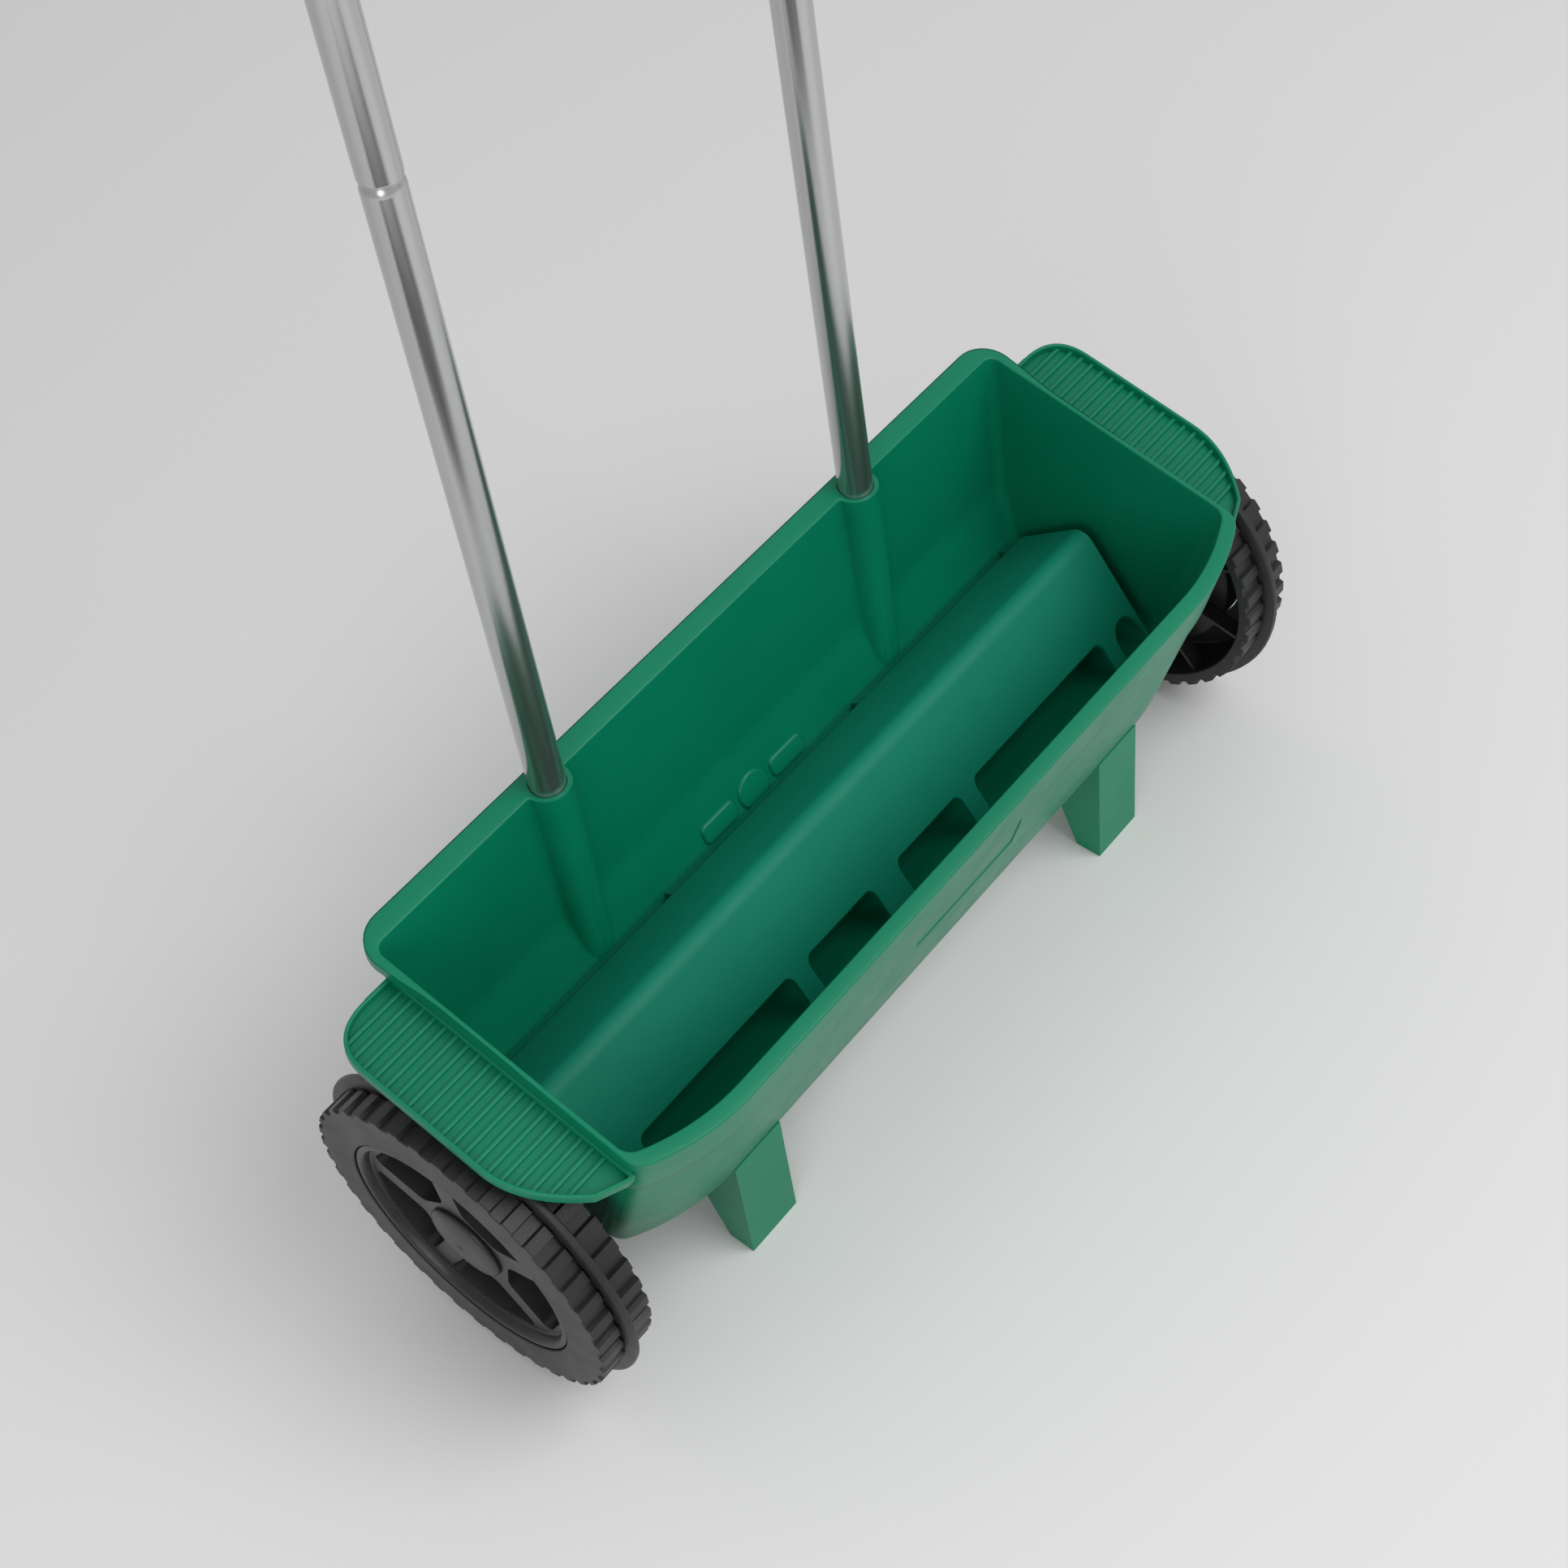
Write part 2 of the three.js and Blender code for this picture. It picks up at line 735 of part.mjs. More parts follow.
function onRearWall(geometry) {
  return solidOf(geometry.clone().applyMatrix4(leverBasis));
}

const bossTop = wall + leverBossHeight;

// Three raised pads on the inside, where the lever's boss and its stops are moulded, grown by some play.
function wallPads(play) {
  const height = padHeight + play;
  const settings = { depth: height + wall / 2, bevelEnabled: false, curveSegments: 4 };
  const [inner, outer, half] = [padInner - play, padOuter + play, padHalf + play];
  const pads = [
    roundedRectangle(-outer, -half, -inner, half, padCorner),
    roundedRectangle(inner, -half, outer, half, padCorner),
    new THREE.Shape().absarc(0, 0, padRound + play, 0, 2 * Math.PI, false),
  ];
  const raised = pads.map((shape) => new THREE.ExtrudeGeometry(shape, settings).translate(0, 0, -height));
  return joined(...raised.map(onRearWall));
}

// Outlets in the floor
const outletPlaces = Array.from({ length: outletCount }, (_, i) => (i - (outletCount - 1) / 2) * outletPitch);
const slideTravel = outletPitch / 2;
const slideTop = -floorDepth - floorThickness - seatGap;
const slideLow = slideTop - slideThickness;

function slots(shift, top, low) {
  const [long, wide] = [outletLength / 2, outletWidth / 2];
  const places = outletPlaces.map((x) => x + shift);
  return joined(...places.map((x) => block([x - long, -wide, low], [x + long, wide, top])));
}

const railInner = slideHalfWidth + runningGap;
const railOuter = railInner + railWidth;
const railTop = slideTop;
const railLipTop = slideLow - runningGap;
const railLow = railLipTop - railFoot;
const railScrewY = (railInner + railOuter) / 2;
const railScrewPlaces = railScrewShares.map((share) => share * railHalf);

function hopperSolid() {
  const legs = [leg(-1), leg(1)];
  const boss = (side) => solidOf(rodX(bossRadius, floorHalf, bossOuter, 16).scale(side, 1, 1));
  const floorPad = block(
    [-railHalf, -railOuter, -floorDepth - floorThickness],
    [railHalf, railOuter, -floorDepth - wall / 2],
  );
  let body = joined(hopperForm(wall, 0, frontWall), rimPlate(rimThickness), apron(), rearLip());
  body = joined(body, floorPad, boss(-1), boss(1), legs[0][0], legs[1][0], tray(-1), tray(1));
  body = cut(body, legs[0][1], legs[1][1], plateRecess());
  body = cut(body, hopperForm(0, overrun * 2));
  const leverBoss = onRearWall(rod(leverBossRadius, wall / 2, bossTop, 16));
  body = joined(body, socket(-1, 0), socket(1, 0), wallPads(0), leverBoss);
  body = cut(body, socketBore(-1), socketBore(1));
  body = cut(body, slots(0, -floorDepth + overrun, -floorDepth - floorThickness - overrun));
  for (const side of [-1, 1]) {
    const bore = rodX(bushRadius + seatGap, floorHalf - wall, bossOuter + overrun, 16);
    body = cut(body, solidOf(bore.scale(side, 1, 1)));
    for (const x of railScrewPlaces) {
      const pilot = rod(screwShank + seatGap, railTop, railTop + screwBite + seatGap, 8);
      body = cut(body, solidOf(pilot.translate(x, side * railScrewY, 0)));
    }
  }
  const pivotHole = rod(leverScrewShank + seatGap, wall, bossTop + overrun, 16);
  return cut(body, onRearWall(pivotHole));
}

// Cover over the agitator
function coverSolid() {
  const line = [
    [coverToeY, coverToeZ],
    [coverRidgeFrontY, coverRidgeFrontZ],
    [coverRidgeY, coverRidgeZ],
    [coverRidgeRearY, coverRidgeRearZ],
    [coverBackY, coverBackZ],
    [coverHeelY, coverHeelZ],
    [coverFootY, coverFootZ],
  ];
  let cover = alongX(strip(line, -coverThickness), -coverHalf, coverHalf);
  const low = coverToeZ - overrun;
  const front = coverToeY - overrun;
  for (const side of [-1, 1]) {
    for (const shares of [longCutShares, shortCutShares]) {
      const [left, right] = shares.map((share) => side * share * coverHalf).sort((a, b) => a - b);
      const gap = roundedRectangle(left, front, right, cutStart, cutCorner);
      cover = cut(cover, upright(gap, low, coverRidgeZ));
    }
    const round = roundedRectangle(
      side * endCutCentre - endCutRadius,
      front,
      side * endCutCentre + endCutRadius,
      cutStart,
      endCutCorner,
    );
    cover = cut(cover, upright(round, low, coverRidgeZ));
    for (const x of notchShares.map((share) => side * share * coverHalf)) {
      const from = [x - notchWidth / 2, coverBackY - overrun, low];
      cover = cut(cover, block(from, [x + notchWidth / 2, coverFootY, notchTop]));
    }
  }
  cover = cover.intersect(hopperForm(-seatGap, 0));
  return cut(cover, wallPads(seatGap), socket(-1, seatGap), socket(1, seatGap));
}

// Metering slide: a slotted plate with a rear tab whose turned-up flange is the crank's fork
const crankSwing = degrees(Math.asin(slideTravel / 2 / crankLength));
const leverLow = bossTop + seatGap;
const leverHigh = leverLow + leverThickness;
const flangeLow = bossTop - flangeThickness - seatGap - overrun;
const flangeStart = ((slideTop + slideLow) / 2 - flangeLow * wallOut.z) / wallRun.z;
const flangeFoot = new THREE.Vector3(0, flangeStart, flangeLow).applyMatrix4(leverBasis);
const slotHalf = crankPinRadius + forkPlay;
const slotEnd = slotHalf - crankLength * Math.cos(radians(crankSwing));

function slideSolid() {
  const half = outletPlaces.at(-1) + outletLength / 2 + slideMargin;
  const shift = -slideTravel / 2;
  const plate = block([-half + shift, -slideHalfWidth, slideLow], [half + shift, slideHalfWidth, slideTop]);
  const tabX = leverX + shift;
  const tab = block(
    [tabX - tabWidth / 2, slideHalfWidth - overrun, slideLow],
    [tabX + tabWidth / 2, flangeFoot.y, slideTop],
  );
  const [left, right] = [-tabWidth / 2, tabWidth / 2];
  const outline = roundedRectangle(left, flangeStart - overrun, right, slotEnd + flangeEdge, overrun);
  const slotStart = -crankLength - slotHalf;
  outline.holes.push(roundedRectangle(-slotHalf, slotStart, slotHalf, slotEnd, crankPinRadius));
  const settings = { depth: flangeThickness, bevelEnabled: false, curveSegments: 4 };
  const flange = onRearWall(new THREE.ExtrudeGeometry(outline, settings).translate(-shift, 0, flangeLow));
  const trimmed = cut(
    flange,
    block([tabX - tabWidth, 0, slideLow - floorDepth], [tabX + tabWidth, rimOuterRear, slideLow]),
  );
  const holes = slots(-slideTravel, slideTop + overrun, slideLow - overrun);
  return cut(joined(plate, tab, trimmed), holes);
}

// A rail's section: a block under the floor with a lip that carries the slide's edge.
function railSolid(side) {
  const section = [
    [side * railInner, railTop],
    [side * railOuter, railTop],
    [side * railOuter, railLow],
    [side * (railInner - railLip), railLow],
    [side * (railInner - railLip), railLipTop],
    [side * railInner, railLipTop],
  ];
  let rail = alongX(section, -railHalf, railHalf);
  for (const x of railScrewPlaces) {
    const hole = rod(screwShank + seatGap, railLow - overrun, railTop + overrun, 8);
    rail = cut(rail, solidOf(hole.translate(x, side * railScrewY, 0)));
  }
  if (side < 0) return rail;
  const reach = tabWidth / 2 + slideTravel / 2 + overrun;
  const gate = [leverX + reach, railOuter + overrun, railTop + overrun];
  return cut(rail, block([leverX - reach, 0, railLipTop], gate));
}

// A screw about Z with its head below and its shank up.
function screwGeometry(shank, head, headHeight, length) {
  const profile = [
    [0, -headHeight],
    [head * screwFaceShare, -headHeight],
    [head, -headHeight / 2],
    [head, 0],
    [shank, 0],
    [shank, length],
    [0, length],
  ];
  return turned(profile, 8);
}

// Flow lever: a crank arm with its pin below the pivot, and a hand arm with a knob above it
function leverSolid() {
  const turn = new THREE.Matrix4().makeRotationZ(radians(crankSwing));
  const arm = new THREE.Shape();
  const narrow = leverWidth / 2;
  arm.moveTo(-narrow, -crankLength);
  arm.absarc(0, -crankLength, narrow, Math.PI, 2 * Math.PI, false);
  arm.lineTo(leverHub, 0);
  arm.lineTo(narrow, leverReach);
  arm.absarc(0, leverReach, narrow, 0, Math.PI, false);
  arm.lineTo(-leverHub, 0);
  const settings = { depth: leverThickness, bevelEnabled: false, curveSegments: 6 };
  const plate = solidOf(new THREE.ExtrudeGeometry(arm, settings).translate(0, 0, leverLow));
  const pinRod = rod(crankPinRadius, flangeLow - overrun / 2, leverLow + overrun / 2, 12);
  const pin = solidOf(pinRod.translate(0, -crankLength, 0));
  const knobRod = rod(leverKnob, leverLow, leverHigh + leverKnobThickness, 20);
  const knob = solidOf(knobRod.translate(0, leverReach, 0));
  const hub = solidOf(rod(leverHub, leverLow, leverHigh, 24));
  const hole = solidOf(rod(leverScrewShank + seatGap, leverLow - overrun, leverHigh + overrun, 16));
  const whole = cut(joined(plate, pin, knob, hub), hole);
  return moved(whole, leverBasis.clone().multiply(turn));
}

// Axle line
const capLow = spokeTop + seatGap;
const axleEnd = wheelInner + capLow + capEdge;
const washerOut = hubOutboard + seatGap;
const rotorEnd = floorHalf - rotorEndGap;

// A cross hole or pin through the axle line at x, along Y.
function crossRod(radius, length, x) {
  return solidOf(rod(radius, -length / 2, length / 2, 8).rotateX(Math.PI / 2).translate(x, 0, 0));
}

const driveX = wheelInner + webInset;
const pinPlaces = { left: -rotorEnd + pinInset, right: rotorEnd - pinInset };

function axleSolid() {
  const bar = solidOf(rodX(axleRadius, -axleEnd, axleEnd, 20));
  const places = [-driveX, pinPlaces.left, pinPlaces.right];
  return cut(bar, ...places.map((x) => crossRod(pinRadius + seatGap, axleRadius * 2 + overrun, x)));
}

// One half of the agitator: a bored core with blades that wind round it.
function rotorSolid(side) {
  const [from, to] = [rotorGap / 2, rotorEnd];
  const steps = 6;
  const rings = [];
  const half = rotorBladeThickness / 2;
  const coreTurn = Math.asin(half / rotorCore);
  for (let i = 0; i <= steps; i += 1) {
    const x = from + ((to - from) * i) / steps;
    const wind = radians(rotorTwist * (i / steps) + 180 / rotorBlades);
    const ring = [];
    for (let blade = 0; blade < rotorBlades; blade += 1) {
      const turn = wind + (2 * Math.PI * blade) / rotorBlades;
      const tipTurn = Math.asin(half / rotorRadius);
      const valley = Math.PI / rotorBlades;
      for (const [radius, angle] of [
        [rotorCore, turn - coreTurn],
        [rotorRadius, turn - tipTurn],
        [rotorRadius, turn + tipTurn],
        [rotorCore, turn + coreTurn],
        [rotorCore, turn + valley],
      ]) {
        ring.push(new THREE.Vector3(side * x, radius * Math.cos(angle), radius * Math.sin(angle)));
      }
    }
    rings.push(ring);
  }
  const bore = rodX(axleRadius + seatGap, 0, to + overrun, 20);
  const pinX = side < 0 ? pinPlaces.left : pinPlaces.right;
  const pinHole = crossRod(pinRadius + seatGap, rotorCore * 2 + overrun, pinX);
  return cut(loft(rings), solidOf(bore.scale(side, 1, 1)), pinHole);
}

function bushGeometry() {
  const bore = axleRadius + runningGap;
  const flangeIn = bossOuter + seatGap;
  const back = floorHalf + seatGap;
  const profile = [
    [bore, back],
    [bushRadius, back],
    [bushRadius, flangeIn],
    [bushFlangeRadius, flangeIn],
    [bushFlangeRadius, flangeIn + bushFlange],
    [bore, flangeIn + bushFlange],
  ];
  return turnedX(profile, 12);
}

function washerGeometry(low) {
  const bore = axleRadius + seatGap;
  const high = low + washerThickness;
  return turnedX([[bore, low], [washerRadius, low], [washerRadius, high], [bore, high]], 12);
}

// Wheel: lugged tread, a bead round its middle with a facet flat on the ground, a face ring, a hub and webs
function wheelSolid(side) {
  const outline = [];
  for (let lug = 0; lug < lugCount; lug += 1) {
    const step = (2 * Math.PI) / lugCount;
    for (const [radius, share] of [
      [lugRoot, 0],
      [lugTop, lugRiseShare],
      [lugTop, lugTopShare],
    ]) {
      const turn = step * (lug + share);
      outline.push([radius * Math.cos(turn), radius * Math.sin(turn)]);
    }
  }
  const tread = alongX(outline, 0, wheelWidth);
  const middle = wheelWidth / 2;
  const beadHalf = beadWidth / 2;
  const halfStep = Math.PI / lugCount;
  const bead = rodX(wheelRadius / Math.cos(halfStep), middle - beadHalf, middle + beadHalf, lugCount);
  bead.rotateX(halfStep - radians(tipAngle));
  const hollow = solidOf(rodX(treadInner, -overrun, wheelWidth - faceRing, lugCount));
  const seat = solidOf(rodX(discSeat, middle, wheelWidth + overrun, lugCount));
  const hub = solidOf(rodX(hubRadius, -hubInboard, hubOutboard, 16));
  const webHalf = webThickness / 2;
  const web = block([webInset, 0, -webHalf], [discBack - seatGap, treadInner + seatGap, webHalf]);
  const webTurn = (i) => new THREE.Matrix4().makeRotationX(((2 * Math.PI) / webCount) * (i + 0.5));
  const webs = Array.from({ length: webCount }, (_, i) => moved(web, webTurn(i)));
  const bore = solidOf(rodX(axleRadius + runningGap, -hubInboard - overrun, wheelWidth, 16));
  let wheel = joined(cut(joined(tread, solidOf(bead)), hollow, seat), hub, ...webs);
  wheel = cut(wheel, bore);
  if (side < 0) wheel = cut(wheel, crossRod(pinRadius + seatGap, hubRadius * 2 + overrun, webInset));
  return wheel;
}

function discSolid() {
  const hole = hubRadius + seatGap;
  const plate = turnedX(
    [
      [hole, discBack],
      [discSeat - seatGap, discBack],
      [discSeat - seatGap, discRimTop],
      [discRimInner + webThickness, discRimTop],
      [discRimInner, spokeTop],
      [hole, spokeTop],
    ],
    40,
  );
  let disc = solidOf(plate);
  for (let i = 0; i < spokeCount; i += 1) {
    const middle = (2 * Math.PI * (i + 0.5)) / spokeCount;
    const half = radians(windowArc / 2);
    const shape = new THREE.Shape();
    const innerHalf = (half * windowInner) / windowOuter;
    shape.absarc(0, 0, windowOuter, middle - half, middle + half, false);
    shape.absarc(0, 0, windowInner, middle + innerHalf, middle - innerHalf, true);
    const settings = { depth: wheelWidth, bevelEnabled: false, curveSegments: 4 };
    const window = new THREE.ExtrudeGeometry(shape, settings).rotateY(Math.PI / 2);
    disc = cut(disc, solidOf(window.translate(discBack + discSkin, 0, 0)));
  }
  return disc;
}

// A domed cap pressed on the end of the axle.
function capSolid() {
  const domeSteps = 3;
  const edge = capLow + capEdge;
  const dome = [];
  for (let i = 0; i <= domeSteps; i += 1) {
    const share = 1 - i / domeSteps;
    dome.push([capRadius * share, edge + capDome * (1 - share ** 2)]);
  }
  const bossLow = washerOut + washerThickness + seatGap;
  const bore = axleRadius + seatGap;
  const inside = [
    [0, edge + seatGap],
    [bore, edge + seatGap],
    [bore, bossLow],
    [capBoss, bossLow],
    [capBoss, capLow],
    [capRadius, capLow],
  ];
  return solidOf(turnedX([...dome, ...inside], 20));
}

// Handle: a pipe along a bow in the plane of both tubes

// The bow's centre line from the right foot over the top to the left, with the heading at each point.
function bowLine() {
  const lean = radians(tubeInwardLean);
  const foot = tubeHalfGap - tubeAboveRim * Math.sin(lean);
  const start = Math.PI / 2 + lean;
  const centreY = bowHeight - bowCorner;
  const endY = centreY - bowCorner * Math.cos(start);
  const centreX = foot - endY * Math.tan(lean) - bowCorner * Math.sin(start);
  const cornerSteps = 5;
  const right = [{ x: foot, s: 0, heading: start }];
  for (let i = 0; i <= cornerSteps; i += 1) {
    const heading = start + ((Math.PI - start) * i) / cornerSteps;
    const [out, down] = [bowCorner * Math.sin(heading), bowCorner * Math.cos(heading)];
    right.push({ x: centreX + out, s: centreY - down, heading });
  }
  const left = right.map(({ x, s, heading }) => ({ x: -x, s, heading: 2 * Math.PI - heading })).reverse();
  return [...right, ...left];
}

function pipe(line, radius, sides) {
  const ringAt = ({ x, s, heading }) => Array.from({ length: sides }, (_, i) => {
    const turn = (2 * Math.PI * i) / sides;
    const side = radius * Math.cos(turn);
    const [out, up] = [side * Math.sin(heading), side * Math.cos(heading)];
    return new THREE.Vector3(x + out, radius * Math.sin(turn), s - up);
  });
  return loft(line.map(ringAt));
}

function lowerTubeSolid() {
  const inner = tubeRadius - tubeWall;
  const plug = inner - seatGap;
  const top = tubeAboveRim;
  return solidOf(turned(
    [
      [inner, -tubeBelowRim],
      [tubeRadius, -tubeBelowRim],
      [tubeRadius, top - shoulderLength],
      [plug, top],
      [plug, top + plugLength],
      [plug - tubeWall, top + plugLength],
      [plug - tubeWall, top],
      [inner, top - shoulderLength],
    ],
    16,
  ));
}

// Assembly
const spreader = new THREE.Group();
spreader.add(hopper, handle);

piece("hopper", hopperSolid(), green, hopper);
piece("agitator_cover", coverSolid(), coverGreen, hopper);
piece("metering_slide", slideSolid(), black, hopper);
piece("slide_rail_front", railSolid(-1), black, hopper);
piece("slide_rail_rear", railSolid(1), black, hopper);
piece("flow_lever", leverSolid(), black, hopper);

const leverScrewLength = leverThickness + leverBossHeight;
const leverScrew = screwGeometry(leverScrewShank, leverScrewHead, screwHeadHeight, leverScrewLength);
leverScrew.rotateX(Math.PI).translate(0, 0, leverHigh + seatGap);
piece("flow_lever_screw", onRearWall(leverScrew), steel, hopper);

const railScrewLength = railTop - railLow + seatGap + screwBite;
for (const [face, side] of [["front", -1], ["rear", 1]]) {
  const screw = screwGeometry(screwShank, screwHead, screwHeadHeight, railScrewLength);
  railScrewPlaces.forEach((x, i) => {
    const placed = screw.clone().translate(x, side * railScrewY, railLow - seatGap);
    piece(`rail_screw_${face}_${["left", "middle", "right"][i]}`, solidOf(placed), steel, hopper);
  });
}

piece("axle", axleSolid(), steel, hopper);
piece("wheel_drive_pin", crossRod(pinRadius, hubRadius * 2, -driveX), steel, hopper);

for (const [name, side] of [["left", -1], ["right", 1]]) {
  const mirrored = new THREE.Matrix4().makeScale(side, 1, 1);
  const outward = mirrored.clone().multiply(new THREE.Matrix4().makeTranslation(wheelInner, 0, 0));
  const innerWasher = washerGeometry(bossOuter + bushFlange + seatGap * 2);
  piece(`agitator_${name}`, rotorSolid(side), black, hopper);
  piece(`agitator_pin_${name}`, crossRod(pinRadius, rotorCore * 2, pinPlaces[name]), steel, hopper);
  piece(`axle_bush_${name}`, moved(solidOf(bushGeometry()), mirrored), nylon, hopper);
  piece(`inner_washer_${name}`, moved(solidOf(innerWasher), mirrored), steel, hopper);
  piece(`outer_washer_${name}`, moved(solidOf(washerGeometry(washerOut)), outward), steel, hopper);
  piece(`wheel_${name}`, moved(wheelSolid(side), outward), black, hopper);
  piece(`wheel_disc_${name}`, moved(discSolid(), outward), black, hopper);
  piece(`hub_cap_${name}`, moved(capSolid(), outward), black, hopper);

  const tube = piece(`lower_tube_${name}`, lowerTubeSolid(), polished, handle);
  tube.position.x = side * tubeHalfGap;
  tube.rotation.y = -side * radians(tubeInwardLean);
}

const bow = bowLine();
const openEnd = (end) => ({ ...end, s: end.s - overrun });
const innerBow = [openEnd(bow[0]), ...bow.slice(1, -1), openEnd(bow.at(-1))];
const bowSolid = cut(pipe(bow, tubeRadius, 16), pipe(innerBow, tubeRadius - tubeWall, 16));
const bowMesh = piece("handle_bow", bowSolid, polished, handle);
bowMesh.position.z = tubeAboveRim * Math.cos(radians(tubeInwardLean));

const gripBore = tubeRadius + seatGap;
const grip = turnedX(
  [
    [gripBore, -gripLength / 2],
    [gripRadius - gripEdge, -gripLength / 2],
    [gripRadius, -gripLength / 2 + gripEdge],
    [gripRadius, gripLength / 2 - gripEdge],
    [gripRadius - gripEdge, gripLength / 2],
    [gripBore, gripLength / 2],
  ],
  16,
);
const gripMesh = piece("handle_grip", solidOf(grip), gripBlack, handle);
gripMesh.position.z = bowMesh.position.z + bowHeight;

// The origin lies on the ground under the middle of the whole spreader
spreader.updateMatrixWorld(true);
const bounds = new THREE.Box3().setFromObject(spreader, true);
const middle = bounds.getCenter(new THREE.Vector3());
spreader.position.set(-middle.x, -middle.y, -bounds.min.z);

export default spreader;
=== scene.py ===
import functools
import json
import math

import bmesh
import bpy
from mathutils import Matrix, Vector


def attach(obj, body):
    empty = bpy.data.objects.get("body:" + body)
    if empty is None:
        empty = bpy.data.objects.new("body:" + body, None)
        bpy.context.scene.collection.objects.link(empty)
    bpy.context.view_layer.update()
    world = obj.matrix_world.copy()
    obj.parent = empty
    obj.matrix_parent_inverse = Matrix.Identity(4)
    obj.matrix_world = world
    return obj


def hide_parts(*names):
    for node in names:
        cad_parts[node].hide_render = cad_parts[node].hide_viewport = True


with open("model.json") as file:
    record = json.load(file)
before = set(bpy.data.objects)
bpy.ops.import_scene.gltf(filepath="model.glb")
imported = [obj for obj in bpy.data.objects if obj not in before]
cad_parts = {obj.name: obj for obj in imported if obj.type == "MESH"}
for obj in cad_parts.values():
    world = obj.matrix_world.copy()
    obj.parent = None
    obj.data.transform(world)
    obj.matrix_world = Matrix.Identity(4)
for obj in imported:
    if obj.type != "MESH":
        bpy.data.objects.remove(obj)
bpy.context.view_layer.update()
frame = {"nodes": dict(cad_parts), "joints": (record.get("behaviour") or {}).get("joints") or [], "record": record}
bodyOf = {node: body for body, nodes in frame["record"]["behaviour"]["bodies"].items() for node in nodes}
axlePlace = Vector(next(j["pos_m"] for j in frame["joints"] if j["name"] == "drive_spin"))

# Camera of the photograph: place in metres, heading, and the lens that gives its field of view
photoCamera = {
    "place": (-0.5759, -0.57635, 1.1791),
    "right": (0.6305, -0.7694, -0.1023),
    "up": (0.6458, 0.4468, 0.6190),
    "lens": 57.89,
}

# Studio: colours are linear, strengths are for a plain level
studio = {
    "floorColour": (0.745, 0.745, 0.745),
    "floorHalf": 30.0,
    "worldColour": (1.0, 1.0, 1.0),
    "worldStrength": 0.58,
    "keyPlace": (0.6, -1.6, 2.3),
    "keySize": 2.0,
    "keyPower": 35.0,
    "fillPlace": (-1.5, -0.9, 0.9),
    "fillSize": 1.2,
    "fillPower": 7.5,
    "flagColour": 0.03,
    "flagPlace": (-0.62, -0.52),
    "flagSize": (0.42, 0.95),
    "flagTurn": 45.0,
}


def addCamera(setup):
    right = Vector(setup["right"]).normalized()
    back = right.cross(Vector(setup["up"])).normalized()
    up = back.cross(right)
    camera = bpy.data.cameras.new("photoCamera")
    camera.lens = setup["lens"]
    camera.sensor_width = 36.0
    camera.clip_start = 0.01
    camera.clip_end = 100.0
    obj = bpy.data.objects.new("photoCamera", camera)
    turn = Matrix((right, up, back)).transposed().to_4x4()
    obj.matrix_world = Matrix.Translation(setup["place"]) @ turn
    bpy.context.collection.objects.link(obj)
    bpy.context.scene.camera = obj


def addStudio(setup):
    world = bpy.data.worlds.new("studioWorld")
    world.use_nodes = True
    background = world.node_tree.nodes["Background"]
    background.inputs["Color"].default_value = (*setup["worldColour"], 1.0)
    background.inputs["Strength"].default_value = setup["worldStrength"]
    bpy.context.scene.world = world

    bm = bmesh.new()
    bmesh.ops.create_grid(bm, x_segments=1, y_segments=1, size=setup["floorHalf"])
    floor = finishPiece("studioFloor", bm, floorPaint(setup["floorColour"]), smooth=None)

    for lampName in ("key", "fill"):
        light = bpy.data.lights.new(lampName + "Light", "AREA")
        light.shape = "DISK"
        light.size = setup[lampName + "Size"]
        light.energy = setup[lampName + "Power"]
        lamp = bpy.data.objects.new(lampName + "Light", light)
        lamp.location = setup[lampName + "Place"]
        lamp.rotation_euler = (-Vector(setup[lampName + "Place"])).to_track_quat("-Z", "Y").to_euler()
        bpy.context.collection.objects.link(lamp)
    bpy.context.scene.view_settings.view_transform = "Standard"

    # A dark flag on the floor that only shows in reflections, for the streaks on the tubes
    bm = bmesh.new()
    bmesh.ops.create_grid(bm, x_segments=1, y_segments=1, size=0.5)
    turn = Matrix.Rotation(math.radians(setup["flagTurn"]), 4, "Z")
    place = Matrix.Translation((*setup["flagPlace"], 0.002))
    bmesh.ops.transform(bm, matrix=place @ turn @ Matrix.Diagonal((*setup["flagSize"], 1, 1)), verts=bm.verts)
    flag = finishPiece("studioFlag", bm, floorPaint([setup["flagColour"]] * 3, "flagPaint"), smooth=None)
    flag.visible_camera = flag.visible_diffuse = flag.visible_shadow = False
    flag.visible_transmission = flag.visible_volume_scatter = False


# A bmesh made into an object, smooth up to an angle between its faces
def finishPiece(name, bm, material, smooth=35.0):
    mesh = bpy.data.meshes.new(name)
    bm.to_mesh(mesh)
    bm.free()
    obj = bpy.data.objects.new(name, mesh)
    bpy.context.collection.objects.link(obj)
    mesh.materials.append(material)
    if smooth is not None:
        mesh.polygons.foreach_set("use_smooth", [True] * len(mesh.polygons))
        mesh.set_sharp_from_angle(angle=math.radians(smooth))
    return obj


def newMaterial(name):
    material = bpy.data.materials.new(name)
    material.use_nodes = True
    tree = material.node_tree
    return material, tree, tree.nodes["Principled BSDF"]


def floorPaint(colour, name="floorPaint"):
    material, tree, shader = newMaterial(name)
    shader.inputs["Base Color"].default_value = (*colour, 1.0)
    shader.inputs["Roughness"].default_value = 0.9
    shader.inputs["Specular IOR Level"].default_value = 0.1
    return material


